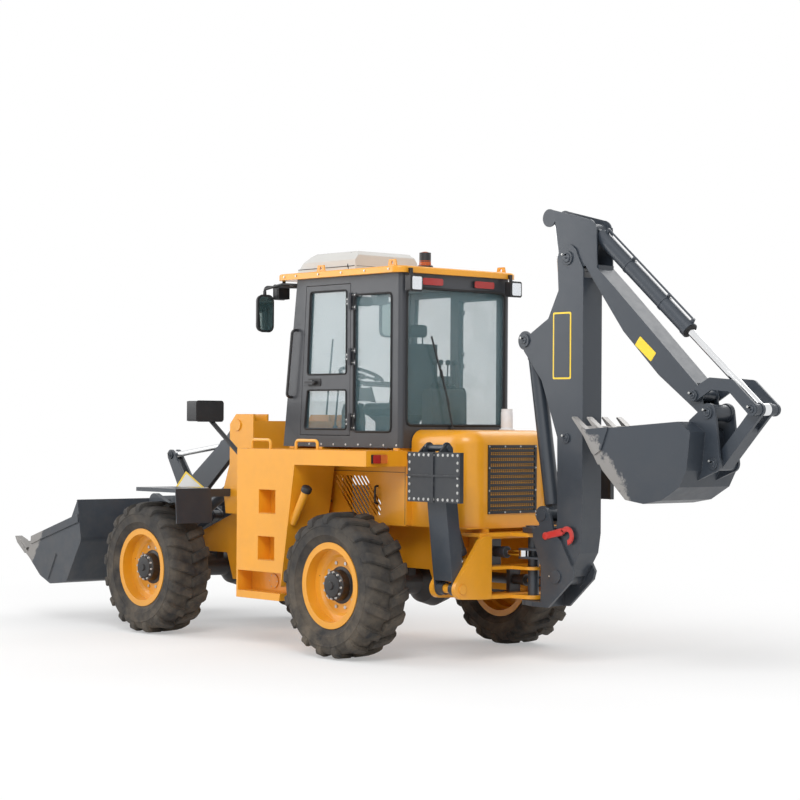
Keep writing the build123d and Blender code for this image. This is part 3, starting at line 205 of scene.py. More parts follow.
def noise(tree, place, scale, detail=2.0, rough=0.5, stretch=None):
    """Noise on a place socket, its scale in patches a metre."""
    if stretch:
        mapping = add(tree, "ShaderNodeMapping", {"Scale": stretch})
        wire(tree, place, mapping.inputs["Vector"])
        place = mapping.outputs["Vector"]
    node = add(tree, "ShaderNodeTexNoise", {"Scale": scale, "Detail": detail, "Roughness": rough})
    wire(tree, place, node.inputs["Vector"])
    return node.outputs["Fac"]


def remap(tree, value, low, high, to_low=0.0, to_high=1.0):
    node = add(tree, "ShaderNodeMapRange", {"From Min": low, "From Max": high, "To Min": to_low, "To Max": to_high})
    wire(tree, value, node.inputs["Value"])
    return node.outputs["Result"]


def maths(tree, operation, first, second):
    node = add(tree, "ShaderNodeMath", operation=operation)
    for socket, value in zip(node.inputs, (first, second)):
        if isinstance(value, (int, float)):
            socket.default_value = value
        else:
            wire(tree, value, socket)
    return node.outputs[0]


def mix(tree, factor, first, second, way="MIX"):
    node = add(tree, "ShaderNodeMix", data_type="RGBA", blend_type=way)
    for socket, value in ((node.inputs[0], factor), (node.inputs[6], first), (node.inputs[7], second)):
        if isinstance(value, (int, float, tuple)):
            socket.default_value = value
        else:
            wire(tree, value, socket)
    return node.outputs[2]


def height_of(tree, place):
    split = add(tree, "ShaderNodeSeparateXYZ")
    wire(tree, place, split.inputs[0])
    return split.outputs["Z"]


film, given, result = new_group(
    "weathered_paint",
    {"Place": ("Vector", None), "Paint": ("Color", (1, 1, 1, 1)), "Dust Colour": ("Color", (0.32, 0.26, 0.19, 1)),
     "Dust": ("Float", 0.3), "Wear Colour": ("Color", (0.3, 0.3, 0.3, 1)), "Wear": ("Float", 0.5),
     "Roughness": ("Float", 0.35), "Edge": ("Float", 0.004)},
    {"Colour": "Color", "Roughness": "Float", "Height": "Float", "Rounded": "Vector"},
)
spot = given.outputs["Place"]
broad = noise(film, spot, 1.3, 3)
fine = noise(film, spot, 14, 4, 0.6)
tone = remap(film, maths(film, "ADD", broad, maths(film, "MULTIPLY", fine, 0.35)), 0.4, 1.0, 0.9, 1.08)
toned = mix(film, 1.0, given.outputs["Paint"], tone, "MULTIPLY")
low_down = remap(film, height_of(film, spot), 1.9, 0.1)
dusty = maths(film, "MULTIPLY", low_down, remap(film, noise(film, spot, 5, 6, 0.65), 0.35, 0.75))
dusty = maths(film, "MULTIPLY", dusty, given.outputs["Dust"])
dusted = mix(film, dusty, toned, given.outputs["Dust Colour"])
round_edge = add(film, "ShaderNodeBevel", samples=4)
wire(film, given.outputs["Edge"], round_edge.inputs["Radius"])
true_face = add(film, "ShaderNodeNewGeometry")
alike = add(film, "ShaderNodeVectorMath", operation="DOT_PRODUCT")
wire(film, round_edge.outputs["Normal"], alike.inputs[0])
wire(film, true_face.outputs["Normal"], alike.inputs[1])
edge = remap(film, alike.outputs["Value"], 0.985, 0.9)
chipped = maths(film, "MULTIPLY", edge, remap(film, noise(film, spot, 26, 5, 0.7), 0.46, 0.6))
worn = maths(film, "MULTIPLY", chipped, given.outputs["Wear"])
wire(film, mix(film, worn, dusted, given.outputs["Wear Colour"]), result.inputs["Colour"])
rough = maths(film, "ADD", given.outputs["Roughness"], maths(film, "MULTIPLY", dusty, 0.5))
rough = maths(film, "ADD", rough, remap(film, fine, 0.3, 0.7, -0.04, 0.06))
wire(film, rough, result.inputs["Roughness"])
wire(film, noise(film, spot, 240, 1), result.inputs["Height"])
wire(film, round_edge.outputs["Normal"], result.inputs["Rounded"])


# %% Painted finishes
def new_material(name, **sockets):
    """A Principled material: plain numbers go straight on the shader's own sockets."""
    material = bpy.data.materials.new(name)
    material.use_nodes = True
    shader = material.node_tree.nodes["Principled BSDF"]
    for label, value in sockets.items():
        shader.inputs[label.replace("_", " ")].default_value = value
    return material, material.node_tree, shader


def object_place(tree):
    return add(tree, "ShaderNodeTexCoord").outputs["Object"]


def bump(tree, height, shader, strength, depth, rounded=None):
    node = add(tree, "ShaderNodeBump", {"Strength": strength, "Distance": depth})
    wire(tree, height, node.inputs["Height"])
    if rounded is not None:
        wire(tree, rounded, node.inputs["Normal"])
    wire(tree, node.outputs["Normal"], shader.inputs["Normal"])


def paint(name, colour, dust=0.3, wear=0.5, wear_colour=(0.3, 0.29, 0.28, 1), rough=0.36, edge=0.004, coat=0.35,
          metal=0.0):
    material, tree, shader = new_material(name, Coat_Weight=coat, Coat_Roughness=0.12, Metallic=metal)
    film_node = add(tree, "ShaderNodeGroup", node_tree=film)
    for label, value in {"Paint": (*colour, 1), "Dust": dust, "Wear": wear, "Wear Colour": wear_colour,
                         "Roughness": rough, "Edge": edge}.items():
        film_node.inputs[label].default_value = value
    wire(tree, object_place(tree), film_node.inputs["Place"])
    wire(tree, film_node.outputs["Colour"], shader.inputs["Base Color"])
    wire(tree, film_node.outputs["Roughness"], shader.inputs["Roughness"])
    bump(tree, film_node.outputs["Height"], shader, 0.12, 0.0006, film_node.outputs["Rounded"])
    return material


yellow = paint("loader_yellow", (0.80, 0.34, 0.012), dust=0.12, wear=0.35, wear_colour=(0.42, 0.2, 0.05, 1))
slate = paint("slate_paint", (0.028, 0.037, 0.050), dust=0.12, wear=0.3, wear_colour=(0.28, 0.29, 0.3, 1),
              rough=0.42, coat=0.25)
cab_grey = paint("cab_grey", (0.036, 0.039, 0.046), dust=0.1, wear=0.25, wear_colour=(0.2, 0.2, 0.21, 1),
                 rough=0.45, coat=0.2)
pad_black = paint("pad_black", (0.016, 0.020, 0.026), dust=0.12, wear=0.35, rough=0.5, coat=0.1)
black_metal = paint("black_metal", (0.009, 0.009, 0.011), dust=0.08, wear=0.3, wear_colour=(0.14, 0.14, 0.14, 1),
                    rough=0.48, coat=0.1)
ac_cover = paint("ac_cover", (0.62, 0.62, 0.6), dust=0.0, wear=0.0, rough=0.5, coat=0.05, edge=0.006)
label_white = paint("label_white", (0.72, 0.73, 0.72), dust=0.1, wear=0.0, rough=0.4)
label_yellow = paint("label_yellow", (0.9, 0.62, 0.02), dust=0.1, wear=0.0, rough=0.4)
red_paint = paint("signal_red", (0.55, 0.02, 0.015), dust=0.15, wear=0.3, rough=0.4)
print("paints:", [m.name for m in bpy.data.materials])

# %% [markdown]
# ## Bare metal, rubber, plastic, glass
# A cylinder rod is hard chrome with a film of oil, brushed round by its seal. Cutting edges are bare
# steel, scratched along the way the soil runs. Tyre rubber is matt and nearly black, greyer where dust
# clings. Plastics are even in colour with a fine moulded grain, and the panes are thin tinted glass.

# %% Group: fine grain
grain, given, result = new_group(
    "fine_grain",
    {"Place": ("Vector", None), "Colour": ("Color", (1, 1, 1, 1)), "Vary": ("Float", 0.1),
     "Roughness": ("Float", 0.5),
     "Scale": ("Float", 300.0)},
    {"Colour": "Color", "Roughness": "Float", "Height": "Float"},
)
spot = given.outputs["Place"]
patch = noise(grain, spot, 6, 5, 0.6)
tiny = add(grain, "ShaderNodeTexNoise", {"Detail": 3.0, "Roughness": 0.6})
wire(grain, spot, tiny.inputs["Vector"])
wire(grain, given.outputs["Scale"], tiny.inputs["Scale"])
swing = maths(grain, "MULTIPLY", remap(grain, patch, 0.3, 0.7, -1, 1), given.outputs["Vary"])
wire(grain, mix(grain, 1.0, given.outputs["Colour"], maths(grain, "ADD", swing, 1.0), "MULTIPLY"),
     result.inputs["Colour"])
wire(grain, maths(grain, "ADD", given.outputs["Roughness"], maths(grain, "MULTIPLY", swing, 0.3)),
     result.inputs["Roughness"])
wire(grain, tiny.outputs["Fac"], result.inputs["Height"])


# %% Plain finishes
def grained(name, colour, vary=0.12, rough=0.5, scale=300.0, strength=0.2, depth=0.0005, stretch=None, **sockets):
    material, tree, shader = new_material(name, **sockets)
    node = add(tree, "ShaderNodeGroup", node_tree=grain)
    for label, value in {"Colour": (*colour, 1), "Vary": vary, "Roughness": rough, "Scale": scale}.items():
        node.inputs[label].default_value = value
    place = object_place(tree)
    if stretch:
        mapping = add(tree, "ShaderNodeMapping", {"Scale": stretch})
        wire(tree, place, mapping.inputs["Vector"])
        place = mapping.outputs["Vector"]
    wire(tree, place, node.inputs["Place"])
    wire(tree, node.outputs["Colour"], shader.inputs["Base Color"])
    wire(tree, node.outputs["Roughness"], shader.inputs["Roughness"])
    bump(tree, node.outputs["Height"], shader, strength, depth)
    return material


chrome = grained("hard_chrome", (0.78, 0.79, 0.8), vary=0.06, rough=0.12, scale=500, strength=0.05, Metallic=1.0)
steel = grained("bare_steel", (0.36, 0.35, 0.34), vary=0.25, rough=0.38, scale=90, strength=0.35, depth=0.001,
                stretch=(1, 8, 1), Metallic=1.0)
zinc = grained("zinc_bolt", (0.5, 0.5, 0.49), vary=0.15, rough=0.34, Metallic=1.0)
plastic = grained("black_plastic", (0.018, 0.018, 0.02), vary=0.1, rough=0.5, scale=700, strength=0.3)
soft_rubber = grained("rubber_seal", (0.012, 0.012, 0.013), vary=0.15, rough=0.72, scale=400, strength=0.25)
floor_mat = grained("floor_mat", (0.02, 0.02, 0.021), vary=0.2, rough=0.8, scale=150, strength=0.5)
seat_vinyl = grained("seat_vinyl", (0.02, 0.022, 0.024), vary=0.15, rough=0.58, scale=450, strength=0.45,
                     depth=0.0008)
headliner = grained("headliner", (0.3, 0.31, 0.32), vary=0.06, rough=0.85, scale=600, strength=0.4)
reflector_bowl = grained("reflector_bowl", (0.85, 0.86, 0.88), vary=0.03, rough=0.14, Metallic=1.0)
white_pipe = grained("exhaust_white", (0.75, 0.76, 0.78), vary=0.08, rough=0.5)


def clear(name, colour, rough=0.03, through=1.0, glow=0.0, **sockets):
    """A see-through plastic or glass with a faint smear."""
    material, tree, shader = new_material(name, Transmission_Weight=through, IOR=1.45, Metallic=0.0, **sockets)
    place = object_place(tree)
    smear = noise(tree, place, 3.0, 4, 0.6)
    shader.inputs["Base Color"].default_value = (*colour, 1)
    wire(tree, remap(tree, smear, 0.3, 0.8, rough, rough + 0.05), shader.inputs["Roughness"])
    wire(tree, mix(tree, remap(tree, smear, 0.3, 0.7, 0.0, 0.06), (*colour, 1), (0.9, 0.92, 0.92, 1)),
         shader.inputs["Base Color"])
    return material


amber = clear("amber_lens", (0.95, 0.16, 0.01), rough=0.08, through=0.55)
red_lens = clear("red_lens", (0.6, 0.015, 0.01), rough=0.08, through=0.4)
orange_lens = clear("orange_lens", (0.95, 0.22, 0.02), rough=0.08, through=0.4)
lamp_lens = clear("lamp_lens", (0.95, 0.96, 0.97), rough=0.02, through=1.0)
mirror_glass = grained("mirror_glass", (0.42, 0.5, 0.48), vary=0.03, rough=0.04, scale=50, strength=0.0,
                       Metallic=1.0)


def pane(name, tint, solid=0.12):
    """Thin safety glass: mostly see-through, a reflecting skin, a green-blue tint and a little dust."""
    material, tree, shader = new_material(name, Metallic=0.0, IOR=1.5, Roughness=0.02, Specular_IOR_Level=0.8)
    place = object_place(tree)
    dust = remap(tree, noise(tree, place, 2.2, 5, 0.6), 0.35, 0.75, 0.0, 0.05)
    wire(tree, mix(tree, dust, (*tint, 1), (0.6, 0.6, 0.58, 1)), shader.inputs["Base Color"])
    wire(tree, maths(tree, "ADD", dust, solid), shader.inputs["Alpha"])
    return material


glass = pane("safety_glass", (0.16, 0.3, 0.34), 0.2)
print("finishes:", len(bpy.data.materials))

# %% [markdown]
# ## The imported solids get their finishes
# One table says which finish each solid wears. Two finishes change over one solid: the handrails are
# yellow on the platforms and black on the cab, and both buckets are scoured bright along their edges.

# %% Finishes for the solids
def linear_place(tree, start, direction, length):
    """0 at start, rising to 1 over a length in millimetres along a direction."""
    where = add(tree, "ShaderNodeVectorMath", {1: tuple(at(*start))}, operation="SUBTRACT")
    wire(tree, object_place(tree), where.inputs[0])
    along = add(tree, "ShaderNodeVectorMath", {1: tuple(Vector(direction).normalized())}, operation="DOT_PRODUCT")
    wire(tree, where.outputs[0], along.inputs[0])
    return remap(tree, along.outputs["Value"], 0.0, length / 1000)


def two_part(name, colours, start, direction, length, break_up=0.0, metal=False, **settings):
    """A weathered paint that changes to a second colour across a plane."""
    material = paint(name, colours[0], **settings)
    tree = material.node_tree
    film_node = next(node for node in tree.nodes if node.type == "GROUP")
    share = linear_place(tree, start, direction, length)
    if break_up:
        ragged = maths(tree, "MULTIPLY", remap(tree, noise(tree, object_place(tree), 9, 6, 0.7), 0.3, 0.7, -1, 1),
                       break_up)
        share = remap(tree, maths(tree, "ADD", share, ragged), 0.4, 0.6)
    wire(tree, mix(tree, share, (*colours[0], 1), (*colours[1], 1)), film_node.inputs["Paint"])
    if metal:
        wire(tree, maths(tree, "MULTIPLY", share, 0.85), tree.nodes["Principled BSDF"].inputs["Metallic"])
    return material


slate_colour, steel_colour = (0.028, 0.037, 0.050), (0.3, 0.29, 0.28)
rubber = paint("tyre_rubber", (0.019, 0.019, 0.02), dust=0.5, wear=0.0, rough=0.78, coat=0.0)
rail_finish = two_part("rail_paint", ((0.86, 0.40, 0.03), (0.02, 0.02, 0.022)), (0, 0, 1900), (0, 0, 1), 20,
                       dust=0.1, wear=0.3)
loader_edge = two_part("loader_bucket_paint", (slate_colour, steel_colour), (4330, 0, 560), (0.84, 0, 0.54), 120,
                       0.35, True,
                       dust=0.15, wear=0.4, rough=0.45, coat=0.1)
hoe_edge = two_part("hoe_bucket_paint", (slate_colour, steel_colour), (-2560, 0, 1400), (0.75, 0, -0.6), 200, 0.35,
                    True,
                    dust=0.15, wear=0.4, rough=0.45, coat=0.1)
finish_of = {
    yellow: "rear_frame hood side_platforms front_frame rim_front_left rim_front_right rim_rear_left rim_rear_right cab_roof",
    slate: "loader_arms rocker bucket_link front_fenders boom dipper guide_links push_link swing_post leg_left leg_right "
           "tilt_barrel lift_barrels boom_barrel dipper_barrel curl_barrel leg_barrel_left leg_barrel_right swing_barrels",
    cab_grey: "cab_shell door_left door_right", pad_black: "pad_left pad_right", rail_finish: "handrails",
    black_metal: "rear_axle front_axle engine_block lamps grille", loader_edge: "loader_bucket",
    hoe_edge: "hoe_bucket",
    chrome: "tilt_rod lift_rods boom_rod dipper_rod curl_rod leg_rod_left leg_rod_right swing_rod_left swing_rod_right",
    ac_cover: "air_conditioner", glass: "cab_glass", seat_vinyl: "seat", plastic: "controls mirrors",
    rubber: "tyre_front_left tyre_front_right tyre_rear_left tyre_rear_right",
}
for material, names in finish_of.items():
    for name in names.split():
        mesh = nodes[name].data
        for index in range(len(mesh.materials)):
            mesh.materials[index] = material
        if not mesh.materials:
            mesh.materials.append(material)
print("solids dressed:", sum(len(names.split()) for names in finish_of.values()), "of", len(nodes))

# %% [markdown]
# ## Ways of making a piece
# Shapes are gathered in one mesh with three moves: a prism from an outline, a closed profile turned about
# an axis, and a block. `finished` moves the mesh to its true place, cuts its sharp edges back so that they
# catch light, smooths what is round, and lets it ride on its body.

# %% Shapes and finishing
def prism(shape, points, axis, low, high):
    """An outline pushed along x, y or z; its points are in the other two directions, in that order."""
    spread = {"x": lambda u, v, w: (w, u, v), "y": lambda u, v, w: (u, w, v), "z": lambda u, v, w: (u, v, w)}[axis]
    ends = [[shape.verts.new(spread(u, v, w)) for u, v in points] for w in (low, high)]
    for end in ends:
        shape.faces.new(end)
    for k in range(len(points)):
        shape.faces.new((ends[0][k - 1], ends[0][k], ends[1][k], ends[1][k - 1]))


def block(shape, low, high):
    (x0, y0, z0), (x1, y1, z1) = low, high
    prism(shape, [(x0, y0), (x1, y0), (x1, y1), (x0, y1)], "z", z0, z1)


def turned(shape, profile, centre, along, sides=36):
    """A closed profile of (distance along, radius) points, turned about an axis through centre."""
    axis = Vector(along).normalized()
    side = axis.orthogonal().normalized()
    other = axis.cross(side)
    rings = []
    for step in range(sides):
        out = cos(tau * step / sides) * side + sin(tau * step / sides) * other
        rings.append([shape.verts.new(Vector(centre) + a * axis + r * out) for a, r in profile])
    for ring, following in zip(rings, rings[1:] + rings[:1]):
        for k in range(len(profile)):
            shape.faces.new((ring[k - 1], ring[k], following[k], following[k - 1]))


def rounded(width, height, radius, centre=(0, 0), steps=5):
    """A rectangle's outline with round corners."""
    points = []
    for sign_u, sign_v, first in ((1, 1, 0), (-1, 1, 1), (-1, -1, 2), (1, -1, 3)):
        for step in range(steps + 1):
            angle = (first + step / steps) * pi / 2
            points.append((centre[0] + sign_u * (width / 2 - radius) + radius * cos(angle),
                           centre[1] + sign_v * (height / 2 - radius) + radius * sin(angle)))
    return points


pieces = []


def finished(name, shape, body, material, cut=0.0, segments=2, stands_for=(), scaled=True, angle=34):
    """Turns a gathered shape into a piece: in its true place, edges cut back, riding on a body."""
    if isinstance(shape, bmesh.types.BMesh):
        if scaled:
            for corner in shape.verts:
                corner.co = at(*corner.co)
        bmesh.ops.remove_doubles(shape, verts=shape.verts, dist=2e-5)
        bmesh.ops.dissolve_degenerate(shape, edges=shape.edges, dist=1e-5)
        if cut:
            sharp = [edge for edge in shape.edges if edge.is_manifold and edge.calc_face_angle(0) > 0.5]
            bmesh.ops.bevel(shape, geom=sharp, offset=cut / 1000, segments=segments, affect="EDGES",
                            clamp_overlap=True)
        bmesh.ops.recalc_face_normals(shape, faces=shape.faces)
        mesh = bpy.data.meshes.new(name)
        shape.to_mesh(mesh)
        shape.free()
    else:
        mesh = shape
        mesh.name = name
    mesh.polygons.foreach_set("use_smooth", [True] * len(mesh.polygons))
    mesh.set_sharp_from_angle(angle=radians(angle))
    if not mesh.materials:
        mesh.materials.append(material)
    piece = bpy.data.objects.new(name, mesh)
    scene.collection.objects.link(piece)
    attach(piece, body)
    if stands_for:
        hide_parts(*stands_for)
    pieces.append(piece)
    return piece


# %% [markdown]
# ## Rules that grow pieces
# What repeats or follows a path comes from Geometry Nodes: bolts stand on points and face where each point
# says, pipes follow a bent path, and tread lugs march round a wheel. Each rule has named inputs, ends with
# real faces and one material, and its result is kept as a plain mesh.

# %% Rules
def new_rule(name, inputs):
    rule = bpy.data.node_groups.new(name, "GeometryNodeTree")
    rule.interface.new_socket("Geometry", in_out="INPUT", socket_type="NodeSocketGeometry")
    for label, (kind, value) in inputs.items():
        socket = rule.interface.new_socket(label, in_out="INPUT", socket_type="NodeSocket" + kind)
        if value is not None:
            socket.default_value = value
    rule.interface.new_socket("Geometry", in_out="OUTPUT", socket_type="NodeSocketGeometry")
    return rule, add(rule, "NodeGroupInput"), add(rule, "NodeGroupOutput")


def close_rule(rule, given, made, result):
    """Real faces and the given material at the end of a rule."""
    real, coat = add(rule, "GeometryNodeRealizeInstances"), add(rule, "GeometryNodeSetMaterial")
    wire(rule, made, real.inputs[0])
    wire(rule, real.outputs[0], coat.inputs["Geometry"])
    wire(rule, given.outputs["Material"], coat.inputs["Material"])
    wire(rule, coat.outputs[0], result.inputs[0])


def grown_mesh(start_mesh, rule, **values):
    """The plain mesh that a rule makes from a starting mesh."""
    start = bpy.data.objects.new("start", start_mesh)
    scene.collection.objects.link(start)
    modifier = start.modifiers.new("rule", "NODES")
    modifier.node_group = rule
    for socket in rule.interface.items_tree:
        label = socket.name.replace(" ", "_")
        if socket.in_out == "INPUT" and label in values:
            modifier[socket.identifier] = values[label]
    mesh = bpy.data.meshes.new_from_object(start.evaluated_get(bpy.context.evaluated_depsgraph_get()))
    bpy.data.objects.remove(start)
    bpy.data.meshes.remove(start_mesh)
    return mesh


bolt_rule, given, result = new_rule("bolts_at",
                                    {"Sides": ("Int", 6), "Height": ("Float", 0.62),
                                     "Material": ("Material", None)})
head = add(bolt_rule, "GeometryNodeMeshCylinder", {"Radius": 1.0})
wire(bolt_rule, given.outputs["Sides"], head.inputs["Vertices"])
wire(bolt_rule, given.outputs["Height"], head.inputs["Depth"])
washer = add(bolt_rule, "GeometryNodeMeshCylinder", {"Vertices": 14, "Radius": 1.32, "Depth": 0.24})
lifted = add(bolt_rule, "GeometryNodeTransform")
half_up = add(bolt_rule, "ShaderNodeCombineXYZ")
wire(bolt_rule, maths(bolt_rule, "MULTIPLY", given.outputs["Height"], 0.6), half_up.inputs["Z"])
wire(bolt_rule, head.outputs["Mesh"], lifted.inputs["Geometry"])
wire(bolt_rule, half_up.outputs[0], lifted.inputs["Translation"])
both = add(bolt_rule, "GeometryNodeJoinGeometry")
wire(bolt_rule, lifted.outputs[0], both.inputs[0])
wire(bolt_rule, washer.outputs["Mesh"], both.inputs[0])
facing = add(bolt_rule, "GeometryNodeInputNamedAttribute", {"Name": "facing"}, data_type="FLOAT_VECTOR")
size = add(bolt_rule, "GeometryNodeInputNamedAttribute", {"Name": "size"}, data_type="FLOAT")
face_it = add(bolt_rule, "FunctionNodeAlignRotationToVector", axis="Z")
wire(bolt_rule, facing.outputs[0], face_it.inputs["Vector"])
stand = add(bolt_rule, "GeometryNodeInstanceOnPoints")
wire(bolt_rule, given.outputs["Geometry"], stand.inputs["Points"])
wire(bolt_rule, both.outputs[0], stand.inputs["Instance"])
wire(bolt_rule, face_it.outputs[0], stand.inputs["Rotation"])
wire(bolt_rule, size.outputs[0], stand.inputs["Scale"])
close_rule(bolt_rule, given, stand.outputs[0], result)

pipe_rule, given, result = new_rule("bent_pipe",
                                    {"Radius": ("Float", 0.01), "Bend": ("Float", 0.04), "Sides": ("Int", 10),
                                     "Material": ("Material", None)})
route = add(pipe_rule, "GeometryNodeMeshToCurve")
soften = add(pipe_rule, "GeometryNodeFilletCurve", {"Count": 5, "Limit Radius": True}, mode="POLY")
ring = add(pipe_rule, "GeometryNodeCurvePrimitiveCircle")
tube = add(pipe_rule, "GeometryNodeCurveToMesh", {"Fill Caps": True})
wire(pipe_rule, given.outputs["Geometry"], route.inputs[0])
wire(pipe_rule, route.outputs[0], soften.inputs["Curve"])
wire(pipe_rule, given.outputs["Bend"], soften.inputs["Radius"])
wire(pipe_rule, given.outputs["Sides"], ring.inputs["Resolution"])
wire(pipe_rule, given.outputs["Radius"], ring.inputs["Radius"])
wire(pipe_rule, soften.outputs[0], tube.inputs["Curve"])
wire(pipe_rule, ring.outputs["Curve"], tube.inputs["Profile Curve"])
close_rule(pipe_rule, given, tube.outputs[0], result)

tread_rule, given, result = new_rule("tread",
                                     {"Count": ("Int", 17), "First": ("Float", 0.0), "Side": ("Float", 1.0),
                                      "Material": ("Material", None)})
flipped = add(tread_rule, "GeometryNodeTransform", {"Scale": (1, -1, 1)})
turned_over = add(tread_rule, "GeometryNodeFlipFaces")
wire(tread_rule, given.outputs["Geometry"], flipped.inputs["Geometry"])
wire(tread_rule, flipped.outputs[0], turned_over.inputs[0])
rows = add(tread_rule, "GeometryNodeJoinGeometry")
for shift, row in ((0.0, given.outputs["Geometry"]), (0.5, turned_over.outputs[0])):
    line = add(tread_rule, "GeometryNodeMeshLine", {"Offset": (0, 0, 0)})
    wire(tread_rule, given.outputs["Count"], line.inputs["Count"])
    place_no = maths(tread_rule, "ADD", add(tread_rule, "GeometryNodeInputIndex").outputs[0], shift)
    angle = maths(tread_rule, "ADD", maths(tread_rule, "DIVIDE", maths(tread_rule, "MULTIPLY", place_no, tau),
                                           given.outputs["Count"]), given.outputs["First"])
    about = add(tread_rule, "ShaderNodeCombineXYZ")
    wire(tread_rule, maths(tread_rule, "MULTIPLY", angle, given.outputs["Side"]), about.inputs["Y"])
    march = add(tread_rule, "GeometryNodeInstanceOnPoints")
    wire(tread_rule, line.outputs[0], march.inputs["Points"])
    wire(tread_rule, row, march.inputs["Instance"])
    wire(tread_rule, about.outputs[0], march.inputs["Rotation"])
    wire(tread_rule, march.outputs[0], rows.inputs[0])
close_rule(tread_rule, given, rows.outputs[0], result)


def bolts(name, spots, body, material=None, sides=6, height=0.62):
    """Bolts at (place, facing, size) spots, all in millimetres."""
    mesh = bpy.data.meshes.new(name)
    mesh.from_pydata([at(*place) for place, _, _ in spots], [], [])
    # a new attribute can move the ones made before it, so each is looked up by name once both exist
    mesh.attributes.new("facing", "FLOAT_VECTOR", "POINT")
    mesh.attributes.new("size", "FLOAT", "POINT")
    for k, (_, way, across) in enumerate(spots):
        mesh.attributes["facing"].data[k].vector = way
        mesh.attributes["size"].data[k].value = across / 1000
    mesh = grown_mesh(mesh, bolt_rule, Sides=sides, Height=height, Material=material or zinc)
    return finished(name, mesh, body, None)


def pipes(name, routes, radius, body, material, bend=40, sides=10, closed=False):
    """Pipes along routes of corner points, in millimetres."""
    corners, edges = [], []
    for route in routes:
        first = len(corners)
        corners += [at(*point) for point in route]
        edges += [(first + k, first + k + 1) for k in range(len(route) - 1)]
        if closed:
            edges.append((len(corners) - 1, first))
    mesh = bpy.data.meshes.new(name)
    mesh.from_pydata(corners, edges, [])
    mesh = grown_mesh(mesh, pipe_rule, Radius=radius / 1000, Bend=bend / 1000, Sides=sides, Material=material)
    return finished(name, mesh, body, None, angle=40)


# %% [markdown]
# ## Wheels
# The carcass is a turned profile with a bulging wall, two moulded ribs and a bead that sits on the rim.
# A lug starts just past the middle, sweeps back to the shoulder and runs down the wall. Seventeen stand on
# each shoulder, the two rows half a step apart.

# %% Tyres and hubs
wheel_radius, lugs_round, lug_reach = 587.5, 17, 81
wall = [(154, 306), (158, 350), (172, 366), (190, 396), (196, 404), (200, 406), (200, 414), (199, 420), (203, 452),
        (203, 476),
        (206, 479), (206, 488), (202, 491), (196, 514), (182, 536), (160, 549), (120, 552.5), (60, 553)]
carcass_profile = wall + [(-a, r) for a, r in reversed(wall)]
lug_sections = [  # along the axle, top radius, base depth below it, middle round the tyre, half width at top
    (-8, 587, 36, 37, 36), (40, 587.3, 36, 20, 38), (110, 586.5, 36, -6, 40), (160, 580, 36, -24, 42),
    (190, 566, 34, -35, 43),
    (204, 544, 30, -41, 43), (208, 515, 20, -44, 40), (205, 492, 12, -45, 36)]


def lug_mesh(side):
    shape = bmesh.new()
    rings = []
    for number, (across, top, deep, middle, half) in enumerate(lug_sections):
        tip = number / (len(lug_sections) - 1)
        lean = 8 if number < 6 else 4
        ring = []
        for radius, reach, inward in ((top, half, 0), (top - deep, half + lean, 26 * tip),
                                      (top - deep, -half - lean, 26 * tip), (top, -half, 0)):
            round_angle = (middle + reach) / wheel_radius
            ring.append(shape.verts.new((-side * radius * sin(round_angle), side * (across - inward),
                                         radius * cos(round_angle))))
        rings.append(ring)
    shape.faces.new(rings[0])
    shape.faces.new(rings[-1])
    for first, second in zip(rings, rings[1:]):
        for k in range(4):
            shape.faces.new((first[k - 1], first[k], second[k], second[k - 1]))
    bmesh.ops.scale(shape, vec=(0.001, 0.001, 0.001), verts=shape.verts)
    bmesh.ops.recalc_face_normals(shape, faces=shape.faces)
    sharp = [edge for edge in shape.edges if edge.calc_face_angle(0) > 0.7]
    bmesh.ops.bevel(shape, geom=sharp, offset=0.006, segments=2, affect="EDGES", clamp_overlap=True)
    mesh = bpy.data.meshes.new("lug")
    shape.to_mesh(mesh)
    shape.free()
    return mesh


wheels = (("front_left", 2650, 1), ("front_right", 2650, -1), ("rear_left", 0, 1), ("rear_right", 0, -1))
for name, x, side in wheels:
    centre = (x, side * 940, wheel_radius)
    tread = grown_mesh(lug_mesh(side), tread_rule, Count=lugs_round, First=pi + lug_reach / wheel_radius,
                       Side=float(side), Material=rubber)
    shape = bmesh.new()
    shape.from_mesh(tread)
    bmesh.ops.translate(shape, vec=at(*centre), verts=shape.verts)
    ring = bmesh.new()
    turned(ring, [(side * a, r) for a, r in carcass_profile], centre, (0, 1, 0), 102)
    for corner in ring.verts:
        corner.co = at(*corner.co)
    joined = bpy.data.meshes.new("carcass")
    ring.to_mesh(joined)
    ring.free()
    shape.from_mesh(joined)
    bpy.data.meshes.remove(joined)
    finished("tread_" + name, shape, "wheel_" + name, rubber, stands_for=["tyre_" + name],
             scaled=False, angle=40)
    hub = bmesh.new()
    turned(hub, [(side * a, r) for a, r in ((30, 60), (30, 151), (44, 151), (50, 124), (118, 121), (128, 112),
                                            (132, 96), (144, 92), (150, 60), (150, 34), (162, 30), (162, 0.1),
                                            (60, 0.1))],
           centre, (0, 1, 0), 48)
    finished("hub_cover_" + name, hub, "wheel_" + name, black_metal, cut=1.5)
    ring_of = lambda count, radius, out, size, first=0.0: [
        ((centre[0] + radius * cos(first + tau * k / count), side * (940 + out),
          centre[2] + radius * sin(first + tau * k / count)), (0, side, 0), size)
        for k in range(count)]
    bolts("wheel_nuts_" + name, ring_of(10, 184, 34, 15) + ring_of(12, 106, 130, 8.5, 0.1), "wheel_" + name,
          height=1.0)
    valve = bmesh.new()
    turned(valve, [(0, 0.1), (0, 6), (26, 5), (26, 7), (38, 6.5), (38, 0.1)],
           (centre[0] + 255, side * 965, centre[2] + 60), (-0.2, side, 0.1), 12)
    finished("valve_" + name, valve, "wheel_" + name, soft_rubber)
print("wheels:", len(pieces), "pieces")

